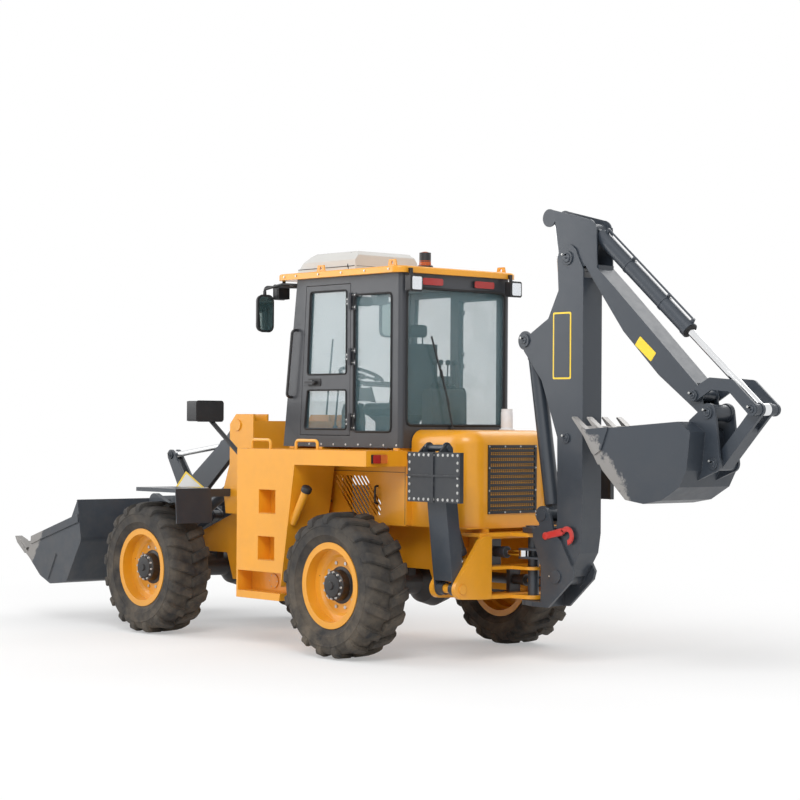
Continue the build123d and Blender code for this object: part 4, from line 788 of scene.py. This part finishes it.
# %% [markdown]
# ## Cab: glass, seals, doors
# The door panes stand in their frames behind black gaskets, with the outline of each window drawn once and
# used for pane and seal. A drop handle, hinges with bolts and a long wiper finish the outside.

# %% Windows
cab_half, cab_low, cab_high, cab_back, roof_top = 612, 1690, 3110, -290, 3165


def front_x(z, back=0):
    """The front pillar's outer face at a height, or a line parallel to it."""
    return 1233 - 177 * (z - cab_low) / (cab_high - cab_low) - back


def door_pane(low, high, inset=52):
    return [(345 + inset, low), (front_x(low, 213) - inset + (0 if low < 2200 else 20), low),
            (front_x(high, 213) - inset + (0 if high < 2200 else 70), high), (345 + inset, high)]


lower_pane, upper_pane = door_pane(1838, 2166), door_pane(2298, 2996)
side_pane = [(-172, 1820), (300, 1820), (300, 2950), (-172, 2950)]
for side, name in ((1, "left"), (-1, "right")):
    body = "door_" + name
    panes = bmesh.new()
    for outline in (lower_pane, upper_pane):
        prism(panes, outline, "y", side * (cab_half - 26), side * (cab_half - 20))
    finished("door_panes_" + name, panes, body, glass)
    seal_y = side * (cab_half + 1)
    pipes("door_seals_" + name, [[(x, seal_y, z) for x, z in outline] for outline in (lower_pane, upper_pane)], 7,
          body,
          soft_rubber, bend=24, sides=8, closed=True)
    pipes("side_seal_" + name, [[(x, seal_y, z) for x, z in side_pane]], 9, "rear", soft_rubber,
          bend=40, sides=8, closed=True)
    handle = bmesh.new()
    prism(handle, rounded(170, 62, 14, (812, 2232)), "y", side * cab_half, side * (cab_half + 5))
    prism(handle, rounded(120, 22, 9, (846, 2232)), "y", side * (cab_half + 24), side * (cab_half + 39))
    turned(handle, [(0, 0.1), (0, 15), (34, 14), (38, 10), (38, 0.1)], (786, side * cab_half, 2232), (0, side, 0),
           20)
    finished("door_handle_" + name, handle, body, plastic, cut=2)
    spots = [((door_x, side * (cab_half + 6), z + dz), (0, side, 0), 5) for z in (1900, 2440, 2900)
             for dz in (-18, 18) for door_x in (362, 385)]
    bolts("hinge_bolts_" + name, spots, body)
    fixed = [((x, side * (cab_half + 6), z + dz), (0, side, 0), 5) for z in (1900, 2440, 2900) for dz in (-50, 50)
             for x in (288, 316)]
    bolts("pillar_bolts_" + name, fixed, "rear")
rear_x = cab_back - 1
rear_seal = [(rear_x, -550, 1875), (rear_x, 550, 1875), (rear_x, 550, 2990), (rear_x, -550, 2990)]
front_seal = [(front_x(1790) + 1, -560, 1790), (front_x(1790) + 1, 560, 1790), (front_x(3050) + 1, 560, 3050),
              (front_x(3050) + 1, -560, 3050)]
pipes("end_seals", [rear_seal, front_seal], 10, "rear", soft_rubber, bend=50, sides=8, closed=True)
wiper = bmesh.new()
turned(wiper, [(0, 0.1), (0, 20), (22, 18), (30, 12), (30, 0.1)], (cab_back, 60, 1850), (-1, 0, 0), 20)
prism(wiper, [(52, 1850), (68, 1850), (196, 2330), (186, 2334)], "x", cab_back - 26, cab_back - 20)
prism(wiper, [(92, 2050), (100, 2046), (300, 2600), (290, 2603)], "x", cab_back - 20, cab_back - 8)
finished("rear_wiper", wiper, "rear", plastic, cut=1)
wiper = bmesh.new()
for low, high, y in ((1850, 2330, 40), (1960, 2620, 150)):
    prism(wiper, [(front_x(low) + 8, low), (front_x(low) + 18, low), (front_x(high) + 18, high),
                  (front_x(high) + 8, high)], "y", y, y + 12)
turned(wiper, [(0, 0.1), (0, 22), (24, 18), (24, 0.1)], (front_x(1850), 46, 1850), (1, 0, 0.1), 20)
block(wiper, (front_x(2320) + 8, 40, 2300), (front_x(2320) + 18, 162, 2320))
finished("front_wiper", wiper, "rear", plastic, cut=1)

# %% [markdown]
# ## Inside the cab
# The seat is foam under vinyl: each cushion starts as a closed block with its corners drawn in, is remeshed
# fine, and swells a little under pressure in a short cloth run. Sewn channels are pressed in afterwards.

# %% Seat
def cushion(name, low, high, swell, channels=()):
    """A padded block between two corners; channels are (axis, place) lines pressed into its face."""
    shape = bmesh.new()
    block(shape, low, high)
    for corner in shape.verts:
        corner.co = at(*corner.co)
    bmesh.ops.recalc_face_normals(shape, faces=shape.faces)
    bmesh.ops.bevel(shape, geom=shape.edges[:], offset=0.028, segments=3, affect="EDGES", clamp_overlap=True)
    mesh = bpy.data.meshes.new(name)
    shape.to_mesh(mesh)
    shape.free()
    holder = bpy.data.objects.new(name, mesh)
    scene.collection.objects.link(holder)
    remesh = holder.modifiers.new("even", "REMESH")
    remesh.mode, remesh.voxel_size = "VOXEL", 0.011
    even = bpy.data.meshes.new_from_object(holder.evaluated_get(bpy.context.evaluated_depsgraph_get()))
    holder.modifiers.remove(remesh)
    holder.data = even
    rest = [corner.co.copy() for corner in even.vertices]
    cloth = holder.modifiers.new("swell", "CLOTH")
    cloth.settings.use_pressure, cloth.settings.uniform_pressure_force = True, 4.0
    cloth.settings.effector_weights.gravity = 0.0
    for frame_number in range(1, 21):
        scene.frame_set(frame_number)
    swollen = bpy.data.meshes.new_from_object(holder.evaluated_get(bpy.context.evaluated_depsgraph_get()))
    holder.modifiers.remove(cloth)
    scene.frame_set(1)
    for corner, start in zip(swollen.vertices, rest):
        move = corner.co - start
        if move.length > swell / 1000:
            corner.co = start + move.normalized() * swell / 1000
    holder.data = swollen
    for corner in holder.data.vertices:
        where = Vector(((corner.co.x - axle_x) * 1000, corner.co.y * 1000, corner.co.z * 1000))
        for axis, place, way in channels:
            near = max(0.0, 1 - abs(where[axis] - place) / 12)
            corner.co += Vector(way) * 0.009 * near * near * (3 - 2 * near)
    smooth = holder.modifiers.new("smooth", "SUBSURF")
    smooth.levels = smooth.render_levels = 1
    final = bpy.data.meshes.new_from_object(holder.evaluated_get(bpy.context.evaluated_depsgraph_get()))
    bpy.data.objects.remove(holder)
    piece = finished(name, final, "rear", seat_vinyl, angle=70)
    return piece


cushion("seat_cushion", (262, -222, 1968), (716, 222, 2046), 16,
                 [(0, 400, (0, 0, -1)), (0, 580, (0, 0, -1)), (1, -130, (0, 0, -1)), (1, 130, (0, 0, -1))])
back = cushion("seat_back", (176, -206, 2062), (252, 206, 2552), 15, [(2, 2200, (-1, 0, 0)), (2, 2400, (-1, 0, 0))])
cushion("head_pad", (172, -120, 2600), (232, 120, 2742), 10)
frame_shape = bmesh.new()
prism(frame_shape, [(300, 1736), (620, 1736), (640, 1760), (560, 1790), (560, 1900), (650, 1952), (270, 1952),
                    (330, 1900), (330, 1790), (280, 1760)], "y", -150, 150)
for y in (-60, 60):
    turned(frame_shape, [(0, 0.1), (0, 6), (90, 6), (90, 0.1)], (200, y, 2530), (0.0, 0, 1), 12)
prism(frame_shape, [(150, 1960), (172, 1950), (176, 2540), (156, 2560)], "y", -190, 190)
for sign in (1, -1):
    prism(frame_shape, [(250, 2190), (560, 2205), (575, 2230), (540, 2244), (250, 2236)], "y", sign * 232,
          sign * 286)
    prism(frame_shape, [(200, 2080), (240, 2080), (270, 2200), (230, 2200)], "y", sign * 215, sign * 240)
finished("seat_frame", frame_shape, "rear", plastic, cut=8, segments=3, stands_for=["seat"])

# %% Driving place
console = bmesh.new()
prism(console, [(1000, 1736), (1090, 1736), (1085, 1990), (1060, 2060), (1010, 2050), (985, 1900)], "y", -95, 95)
turned(console, [(0, 0.1), (0, 34), (60, 30), (250, 24), (262, 20), (262, 0.1)], (1040, 0, 2030), (-110, 0, 260),
       24)
prism(console, [(-205, 1736), (-60, 1736), (-66, 2140), (-90, 2180), (-180, 2180), (-200, 2140)], "y", -190, 190)
prism(console, [(880, 2080), (1010, 2100), (1000, 2190), (930, 2200)], "y", -120, 120)
finished("consoles", console, "rear", plastic, cut=9, segments=3, stands_for=["controls"])
column = Vector((-110, 0, 260)).normalized()
hoop = bmesh.new()
turned(hoop, [(15 * sin(tau * k / 10), 190 + 15 * cos(tau * k / 10)) for k in range(10)], (925, 0, 2300), column,
       48)
turned(hoop, [(-14, 0.1), (-14, 40), (8, 44), (16, 34), (18, 0.1)], (925, 0, 2300), column, 28)
across = column.cross(Vector((0, 1, 0))).normalized()
for k in range(3):
    way = cos(tau * k / 3 + 0.5) * Vector((0, 1, 0)) + sin(tau * k / 3 + 0.5) * across
    turned(hoop, [(36, 0.1), (36, 11), (180, 9), (180, 0.1)], (925, 0, 2300), way, 12)
knob_place = Vector((925, 0, 2300)) + 190 * across + 40 * column
turned(hoop, [(-30, 0.1), (-30, 6), (-6, 6), (-4, 18), (10, 24), (24, 18), (30, 0.1)], knob_place, column, 20)
finished("steering_wheel", hoop, "rear", plastic, angle=50)
levers = bmesh.new()
for y in (-110, -40, 40, 110):
    turned(levers, [(0, 0.1), (0, 30), (10, 31), (16, 22), (26, 24), (32, 16), (42, 17), (50, 9), (50, 0.1)],
           (-130, y, 2180), (-0.05, 0, 1), 16)
    turned(levers, [(40, 0.1), (40, 6), (196, 6), (196, 16), (206, 21), (228, 21), (240, 13), (242, 0.1)],
           (-130, y, 2180), (-0.05, 0, 1), 16)
for y, x, z in ((-300, 520, 1736), (300, 620, 1736)):
    turned(levers, [(0, 0.1), (0, 34), (30, 22), (60, 10), (420, 8), (420, 22), (446, 26), (470, 18), (474, 0.1)],
           (x, y, z), (0.15, 0, 1), 18)
finished("levers", levers, "rear", soft_rubber, angle=50)
inside = bmesh.new()
block(inside, (-240, -560, 1737), (1160, 560, 1745))
finished("cab_mat", inside, "rear", floor_mat, cut=2)
lining = bmesh.new()
block(lining, (-236, -556, 3044), (1000, 556, 3060))
finished("cab_lining", lining, "rear", headliner, cut=5)
glimpse = bmesh.new()
turned(glimpse, [(0, 0.1), (0, 5), (68, 5), (68, 0.1)], (930, 0, 3048), (0, 0, -1), 10)
prism(glimpse, rounded(230, 84, 40, (0, 2950)), "x", 914, 932)
finished("inside_mirror", glimpse, "rear", plastic, cut=4)
print("cab pieces so far:", len(pieces))

# %% [markdown]
# ## On the roof and round it
# Work lamps front and rear, a ribbed amber beacon, a moulded cover with its seam and vents, and the
# mirrors on their arms.

# %% Roof
beacon = bmesh.new()
ribs = [(0, 0.1), (0, 62), (16, 62), (20, 50)]
for k in range(6):
    ribs += [(26 + 14 * k, 50.5 - k), (33 + 14 * k, 48.5 - k)]
turned(beacon, ribs + [(112, 43), (124, 34), (130, 16), (131, 0.1)], (-205, 280, roof_top + 4), (0, 0, 1), 40)
finished("beacon", beacon, "rear", amber, angle=60)
foot = bmesh.new()
turned(foot, [(0, 0.1), (0, 66), (14, 66), (20, 60), (20, 0.1)], (-205, 280, roof_top), (0, 0, 1), 32)
finished("beacon_foot", foot, "rear", plastic, cut=1)
housings, lenses, bowls = bmesh.new(), bmesh.new(), bmesh.new()
for x, way in ((-414, -1), (1374, 1)):
    for side in (1, -1):
        y = side * 560
        prism(housings, rounded(126, 126, 16, (y, 3020)), "x", x + way * 2, x - way * 60)
        prism(bowls, rounded(104, 104, 12, (y, 3020)), "x", x + way * 3, x + way * 5)
        prism(lenses, rounded(108, 108, 14, (y, 3020)), "x", x + way * 6, x + way * 11)
        turned(housings, [(0, 0.1), (0, 9), (30, 9), (30, 0.1)], (x - way * 45, y - 15, 3085), (0, 1, 0), 14)
for side in (1, -1):
    lamp_y, lamp_z = side * 1080, 1985
    prism(housings, rounded(286, 176, 22, (lamp_y, lamp_z)), "x", 1664, 1808)
    for shift, size in ((-62, 62), (72, 48)):
        turned(housings, [(0, size - 8), (0, size + 8), (12, size + 6), (12, size - 6)],
               (1806, lamp_y + shift, lamp_z), (1, 0, 0), 32)
        turned(bowls, [(0, 0.1), (0, size - 4), (3, size - 4), (3, 0.1)], (1806, lamp_y + shift, lamp_z), (1, 0, 0),
               32)
        turned(lenses, [(4, 0.1), (4, size - 6), (8, size - 6), (14, size * 0.5), (16, 0.1)],
               (1806, lamp_y + shift, lamp_z), (1, 0, 0), 32)
finished("lamp_housings", housings, "rear", plastic, cut=4)
finished("lamp_bowls", bowls, "rear", reflector_bowl)
finished("lamp_lenses", lenses, "rear", lamp_lens, cut=1)
signals, turnings = bmesh.new(), bmesh.new()
for side in (1, -1):
    prism(signals, rounded(216, 50, 12, (side * 290, 3047)), "x", cab_back - 26, cab_back - 15)
    prism(signals, rounded(68, 62, 8, (side * 958, 1605)), "x", -408, -393)
    prism(turnings, rounded(68, 62, 8, (side * 888, 1605)), "x", -408, -393)
finished("rear_lamps", signals, "rear", red_lens, cut=3)
finished("turn_lamps", turnings, "rear", orange_lens, cut=3)
vents = bmesh.new()
for k in range(9):
    prism(vents, rounded(16, 300, 7, (760 + 34 * k, 0)), "z", 3352, 3356)
finished("cooler_vents", vents, "rear", plastic, cut=1)
pipes("cooler_seam", [[(602, -352, 3225), (1384, -352, 3225), (1384, 352, 3225), (602, 352, 3225)]], 3, "rear",
      plastic, bend=20, sides=6, closed=True)
pipes("cooler_strap", [[(680, 340, 3170), (700, 352, 3230), (720, 290, 3352), (720, -290, 3352), (700, -352, 3230),
                        (680, -340, 3170)]], 6,
      "rear", black_metal, bend=30)
shells, mirrors = bmesh.new(), bmesh.new()
for side in (1, -1):
    prism(shells, rounded(168, 312, 52, (side * 700, 2832), 8), "x", 1382, 1418)
    prism(mirrors, rounded(144, 288, 42, (side * 700, 2832), 8), "x", 1379, 1383)
    turned(shells, [(0, 0.1), (0, 16), (60, 14), (60, 0.1)], (1398, side * 700, 2975), (0, 0, 1), 16)
finished("mirror_shells", shells, "rear", plastic, cut=9, segments=3, stands_for=["mirrors"])
finished("mirror_faces", mirrors, "rear", mirror_glass, cut=1)
pipes("mirror_arms", [[(1398, side * 700, 2960), (1398, side * 700, 3062), (front_x(3040) + 14, side * 580, 3050)]
                      for side in (1, -1)] +
      [[(1398, side * 700, 3040), (front_x(3040) + 100, side * 690, 3075), (front_x(3040) + 14, side * 590, 3070)]
       for side in (1, -1)],
      11, "rear", black_metal, bend=30)
bolts("roof_bolts", [((x, side * 676, 3138), (0, side, 0), 7) for side in (1, -1)
                     for x in (-200, 100, 400, 700, 1000, 1160)], "rear")

# %% [markdown]
# ## Body: covers, platforms, steps
# The engine cover has panel joints, pull handles on its sides and a woven screen in its tail. The platforms
# carry raised studs so that a boot holds, and the same studs stand on each step. Studs and bolts are one rule
# on a list of places, because a rule keeps every one alike and a list is quick to read and to change.

# %% Covers
cover_side, tank_side, tank_recess, deck_top = 560, 1050, 900, 1670    # faces of the low cover, the tanks and the deck
seams = bmesh.new()
for side in (1, -1):
    y = side * cover_side
    block(seams, (664, min(y, y + side * 1.5), 1075), (669, max(y, y + side * 1.5), 1598))
    block(seams, (-294, min(y, y + side * 1.5), 1075), (-289, max(y, y + side * 1.5), 1598))
    block(seams, (-294, min(y, y + side * 1.5), 1492), (669, max(y, y + side * 1.5), 1496))
finished("cover_seams", seams, "rear", plastic, cut=0.6)
pipes("cover_handles", [[(x, side * 556, low), (x, side * 592, low), (x, side * 592, high), (x, side * 556, high)]
                        for side in (1, -1) for x, low, high in ((644, 1236, 1387), (44, 1234, 1376))], 9, "rear",
                        plastic, bend=16)
screen = bmesh.new()
for k in range(23):
    z = 1200 + 500 * k / 22
    block(screen, (-957, -246, z - 1.6), (-954, 246, z + 1.6))
for k in range(23):
    y = -242 + 484 * k / 22
    block(screen, (-955, y - 1.6, 1198), (-952, y + 1.6, 1702))
finished("tail_screen", screen, "rear", black_metal)
bolts("tail_bolts", [((-960, y, z), (-1, 0, 0), 6) for y in (-259, -86, 86, 259) for z in (1186, 1711)] +
      [((-960, y, z), (-1, 0, 0), 6) for y in (-259, 259) for z in (1360, 1540)], "rear")
stack = bmesh.new()
turned(stack, [(0, 43), (0, 49), (150, 49), (156, 46), (178, 46), (178, 38), (60, 37), (60, 43)],
       (-580, -300, 1836), (0, 0, 1), 36)
turned(stack, [(0, 43), (0, 62), (6, 66), (12, 62), (16, 43)], (-580, -300, 1838), (0, 0, 1), 36)
finished("exhaust_sleeve", stack, "rear", white_pipe, angle=50)
caps = bmesh.new()
for side in (1, -1):
    way = Vector((445 - 620, 0, 1338 - 1060)).normalized()
    turned(caps, [(-16, 0.1), (-16, 42), (-8, 44), (22, 44), (30, 36), (34, 20), (34, 0.1)],
           (445, side * 990, 1338), way, 12)
finished("filler_caps", caps, "rear", plastic, cut=3, segments=2)
covers = bmesh.new()
for side in (1, -1):  # on the back wall of the lowest opening
    turned(covers, [(0, 0.1), (0, 62), (7, 62), (9, 54), (9, 0.1)], (980, side * tank_recess, 557), (0, side, 0),
           36)
finished("tank_plates", covers, "rear", yellow, cut=1.5)
bolts("tank_bolts", [((980 + 52 * cos(tau * k / 6), side * 907, 557 + 52 * sin(tau * k / 6)), (0, side, 0), 5)
                     for k in range(6) for side in (1, -1)],
      "rear")
deck_spots = [((x, side * y, deck_top), (0, 0, 1), 7) for side in (1, -1) for x in range(-352, 1300, 44)
              for y in range(650, 1040, 44)]
bolts("deck_studs", deck_spots, "rear", material=yellow, sides=8, height=0.5)
step_spots = [((x + dx, side * y, z + 1), (0, 0, 1), 6) for side in (1, -1) for x, z in ((780, 1130), (790, 740))
              for dx in range(20, 220, 32) for y in (940, 970, 1000, 1030)]
step_spots += [((x, side * y, 473), (0, 0, 1), 6) for side in (1, -1) for x in range(720, 1280, 34)
               for y in (920, 955, 990, 1025)]
bolts("step_studs", step_spots, "rear", material=yellow, sides=8, height=0.5)
treads = bmesh.new()
for side in (1, -1):
    for x, z in ((780, 1130), (790, 740)):
        for k in range(8):
            prism(treads, [(x + 8 + 26 * k, z + 1), (x + 26 + 26 * k, z + 1), (x + 17 + 26 * k, z + 13)], "y",
                  side * (tank_side - 6), side * tank_side)
finished("step_teeth", treads, "rear", yellow, cut=0.6)

# %% [markdown]
# ## Plates and labels
# Where a real machine carries words there are plain plates of the same size: a dark plate with a yellow
# border on the boom, yellow labels on the dipper and the frame, a white triangle on each loader arm.

# %% Plates
def slanted(centre, length, width, angle, corner=6):
    """A rounded rectangle's outline, its long side at an angle from x."""
    return [(centre[0] + u * cos(angle) - v * sin(angle), centre[1] + u * sin(angle) + v * cos(angle)) for u,
            v in rounded(length, width, corner)]


borders, fields = bmesh.new(), bmesh.new()
for side in (1, -1):
    prism(borders, slanted((-1602, 2500), 520, 196, pi / 2, 14), "y", side * 105, side * 106.5)
    prism(fields, slanted((-1602, 2500), 492, 168, pi / 2, 9), "y", side * 106.5, side * 107.5)
finished("boom_plates", borders, "boom", label_yellow)
finished("boom_plate_fields", fields, "boom", slate)
label = bmesh.new()
for side in (1, -1):
    prism(label, slanted((-2455, 2456), 206, 82, radians(39), 8), "y", side * 92.2, side * 93.7)
finished("dipper_labels", label, "dipper", label_yellow)
label = bmesh.new()
prism(label, rounded(138, 180, 8, (-936, 880)), "y", 325, 326.5)
finished("frame_label", label, "rear", label_yellow)
outer, inner = bmesh.new(), bmesh.new()
corners = [(2589, 1288), (3062, 1275), (2889, 1437)]
middle = (sum(x for x, _ in corners) / 3, sum(z for _, z in corners) / 3)
for side in (1, -1):
    y = side * 455
    prism(outer, corners, "y", y, y + side * 1.5)
    prism(inner, [(middle[0] + 0.78 * (x - middle[0]), middle[1] + 0.78 * (z - middle[1])) for x, z in corners],
          "y", y + side * 1.5, y + side * 2.5)
finished("arm_signs", outer, "arms", label_yellow)
finished("arm_sign_fields", inner, "arms", label_white)

# %% [markdown]
# ## Pins and their keepers
# A pivot pin is held from turning by a small plate under one bolt, and is fed through a grease nipple in its
# middle. One table gives each pin's place, the face it shows on, its size and its body. The swing post turns
# close past the frame, so its keepers are thin, lie on its plates and have no nipple.

# %% Pins
post_face = 129.8         # outer face of the swing post's plates
pins = [  # x, z, face from the middle, pin radius, body, node
    (-1575, 711, 141.8, 38, "swing", "swing_post"), (-1420, 1183, 141.8, 30, "swing", "swing_post"),
    (-1657, 3177, 117, 40, "boom", "boom"), (-1652, 1785, 117, 26, "boom", "boom"),
    (-1194, 2550, 117, 30, "boom", "boom"),
    (-3075, 1980, 123, 30, "hoe_bucket", "hoe_bucket"), (-3130, 1612, 123, 28, "hoe_bucket", "hoe_bucket"),
    (3575, 515, 489.8, 36, "loader_bucket", "loader_bucket"), (3037, 1016, 62, 26, "rocker", "rocker"),
    (3712, 1570, 62, 22, "rocker", "rocker"),
    (-2955, 2105, 142.6, 26, "dipper", "dipper"), (-3495, 2003, 140.6, 26, "guide_links", "guide_links"),
    (2930, 905, 524, 24, "arms", "loader_arms"),
]
by_body = {}
for x, z, face, radius, body, node in pins:
    by_body.setdefault((body, node), []).append((x, z, face, radius))
for (body, node), members in by_body.items():
    keepers, spots = bmesh.new(), []
    for x, z, face, radius in members:
        for side in (1, -1):
            y = side * face
            if body == "swing":  # these pass close to the frame at full swing, so they stay below the pin's head
                y = side * post_face
                prism(keepers, rounded(34, 24, 6, (x + radius + 24, z)), "y", y, y + side * 6)
                spots.append(((x + radius + 32, y + side * 6, z), (0, side, 0), 5))
                continue
            turned(keepers, [(0, 0.1), (0, radius * 0.92), (5, radius * 0.92), (8, radius * 0.8), (8, 0.1)],
                   (x, y, z), (0, side, 0), 24)
            prism(keepers, rounded(radius * 1.5, 22, 8, (x + radius * 0.62, z + radius * 0.72)), "y", y - side * 10,
                  y + side * 8)
            turned(keepers, [(8, 0.1), (8, 6), (14, 6), (16, 4), (22, 4), (24, 2), (24, 0.1)], (x, y, z),
                   (0, side, 0), 10)
            spots.append(((x + radius * 1.05, y + side * 8, z + radius * 0.72), (0, side, 0), 7))
    finished("pin_keepers_" + body, keepers, body, slate, cut=1)
    bolts("keeper_bolts_" + body, spots, body)

# %% [markdown]
# ## Cylinders and their pipes
# Every barrel has a dark wiper ring where the bright rod comes out. The two that stand in the open, for the
# loader's tilt and for the digging bucket, also have a steel pipe from the port near the foot to the port
# near the mouth, held by two clamps.

# %% Hydraulic pipes
def dress_cylinder(name, body, base, eye, out, bore, rod, ring, travel, with_pipe=True):
    base, eye, out = Vector(base), Vector(eye), Vector(out)
    axis = (eye - base).normalized()
    out = (out - out.dot(axis) * axis).normalized()
    foot, mouth = ring + 22, (eye - base).length - travel - ring - 38
    collar = bmesh.new()
    turned(collar, [(0, rod + 0.6), (0, bore - 4), (7, bore - 6), (9, rod + 6), (9, rod + 0.6)],
           base + (mouth + 0.2) * axis, axis, 32)
    finished("wiper_ring_" + name, collar, body, soft_rubber, angle=50)
    if not with_pipe:
        return
    ports = bmesh.new()
    for along in (foot + 36, mouth - 26):
        turned(ports, [(bore - 4, 0.1), (bore - 4, 17), (bore + 16, 17), (bore + 18, 14), (bore + 32, 14),
                       (bore + 34, 12), (bore + 34, 0.1)],
               base + along * axis, out, 12)
    for share in (0.33, 0.72):
        along = foot + share * (mouth - foot)
        turned(ports, [(-9, bore + 0.4), (-9, bore + 4), (9, bore + 4), (9, bore + 0.4)], base + along * axis, axis,
               32)
        centre = base + along * axis + (bore + 14) * out
        turned(ports, [(-8, 0.1), (-8, 15), (8, 15), (8, 0.1)], centre, axis, 8)
    finished("ports_" + name, ports, body, slate, cut=1)
    high = bore + 26
    route = [base + (foot + 36) * axis + (bore + 6) * out, base + (foot + 36) * axis + high * out,
             base + (mouth - 26) * axis + high * out, base + (mouth - 26) * axis + (bore + 6) * out]
    pipes("pipe_" + name, [route], 8, body, slate, bend=16, sides=10)


dress_cylinder("tilt", "tilt_barrel", (1907, 0, 1802), (3712, 0, 1570), (0, 0, 1), 50, 27, 42, 725)
for side, name in ((1, "left"), (-1, "right")):
    dress_cylinder("lift_" + name, "lift_barrels", (1985, side * 430, 1440),
                   (2930, side * 430, 905), (0.4, 0, 1), 50, 24, 48, 70, False)
    level = {1: 872, -1: 641}[side]
    dress_cylinder("swing_" + name, "rear", (-560, side * 110, level), (-1200, side * 110, level),
                   (0, side, 0.4), 42, 22, 38, 110, False)
    dress_cylinder("leg_" + name, "leg_barrel_" + name, (-900, side * 712, 1390),
                   (-900, side * 470, 784), (-1, 0, 0), 42, 24, 40, 6, False)
dress_cylinder("boom", "boom_barrel", (-1420, 0, 1183), (-1194, 0, 2550), (0, 1, 0), 62, 34, 56, 6,
               False)
dress_cylinder("curl", "curl_barrel", (-1860, 0, 3385), (-3495, 0, 2003), (-0.6, 0, 1), 58, 30, 48,
               815)

# %% [markdown]
# ## Shoes, buckets, swing post
# The stabiliser shoes have a row of studs along every edge. The swing post carries a red transport hook, and
# the loader bucket's wear edge is bolted on between its teeth.

# %% Working ends
for side, name in ((1, "left"), (-1, "right")):
    y = side * 861
    low_x, high_x, low_z, high_z = -1236, -684, 1302, 1646
    spots = [((x, y, z), (0, side, 0), 9) for k in range(11) for x, z in
             ((low_x + (high_x - low_x) * k / 10, low_z), (low_x + (high_x - low_x) * k / 10, high_z))]
    spots += [((x, y, low_z + (high_z - low_z) * k / 6), (0, side, 0), 9) for k in range(1, 6)
              for x in (low_x, high_x)]
    bolts("shoe_studs_" + name, spots, "pad_" + name, sides=10, height=0.5)
hook = bmesh.new()
eye, bend = (-1462, 1021), (-1692, 1032)    # the hook's pivot, and the middle of its claw
claw = [(bend[0] - r * cos(radians(a)), bend[1] + r * sin(radians(a))) for r,
        turns in ((70, range(150, -81, -10)), (34, range(-80, 151, 10))) for a in turns]
prism(hook, claw, "y", 130.5, 141)
prism(hook, [(-1456, 996), (-1466, 1046), (-1640, 1088), (-1668, 1058), (-1640, 1034)], "y", 130.5, 141)
turned(hook, [(0, 0.1), (0, 30), (10, 30), (12, 26), (12, 0.1)], (eye[0], post_face, eye[1]), (0, 1, 0), 24)
finished("transport_hook", hook, "swing", red_paint, cut=3)
# bolts stand between the teeth, on the sloping wear edge
edges = [((4514, -960 + 320 * k + dy, 650), (-0.549, 0, 0.836), 15) for k in range(7) for dy in (-60, 60)]
bolts("loader_edge_bolts", edges, "loader_bucket", material=steel, sides=12, height=0.4)
bolts("fender_bolts", [((x, side * y, 1305), (0, 0, 1), 9) for side in (1, -1) for x in (2130, 2156)
                       for y in (760, 800)], "front")
bolts("cab_base_bolts", [((x, side * 612, 1712), (0, side, 0), 7) for side in (1, -1)
                         for x in range(-240, 1200, 160)], "rear")
bolts("tower_bolts", [((x, side * 495, z), (0, side, 0), 11) for side in (1, -1) for x,
                      z in ((1835, 1150), (1835, 1280), (2090, 1150), (2090, 1280))], "front")
print("pieces:", len(pieces), "triangles added:",
      sum(sum(len(p.vertices) - 2 for p in piece.data.polygons) for piece in pieces))
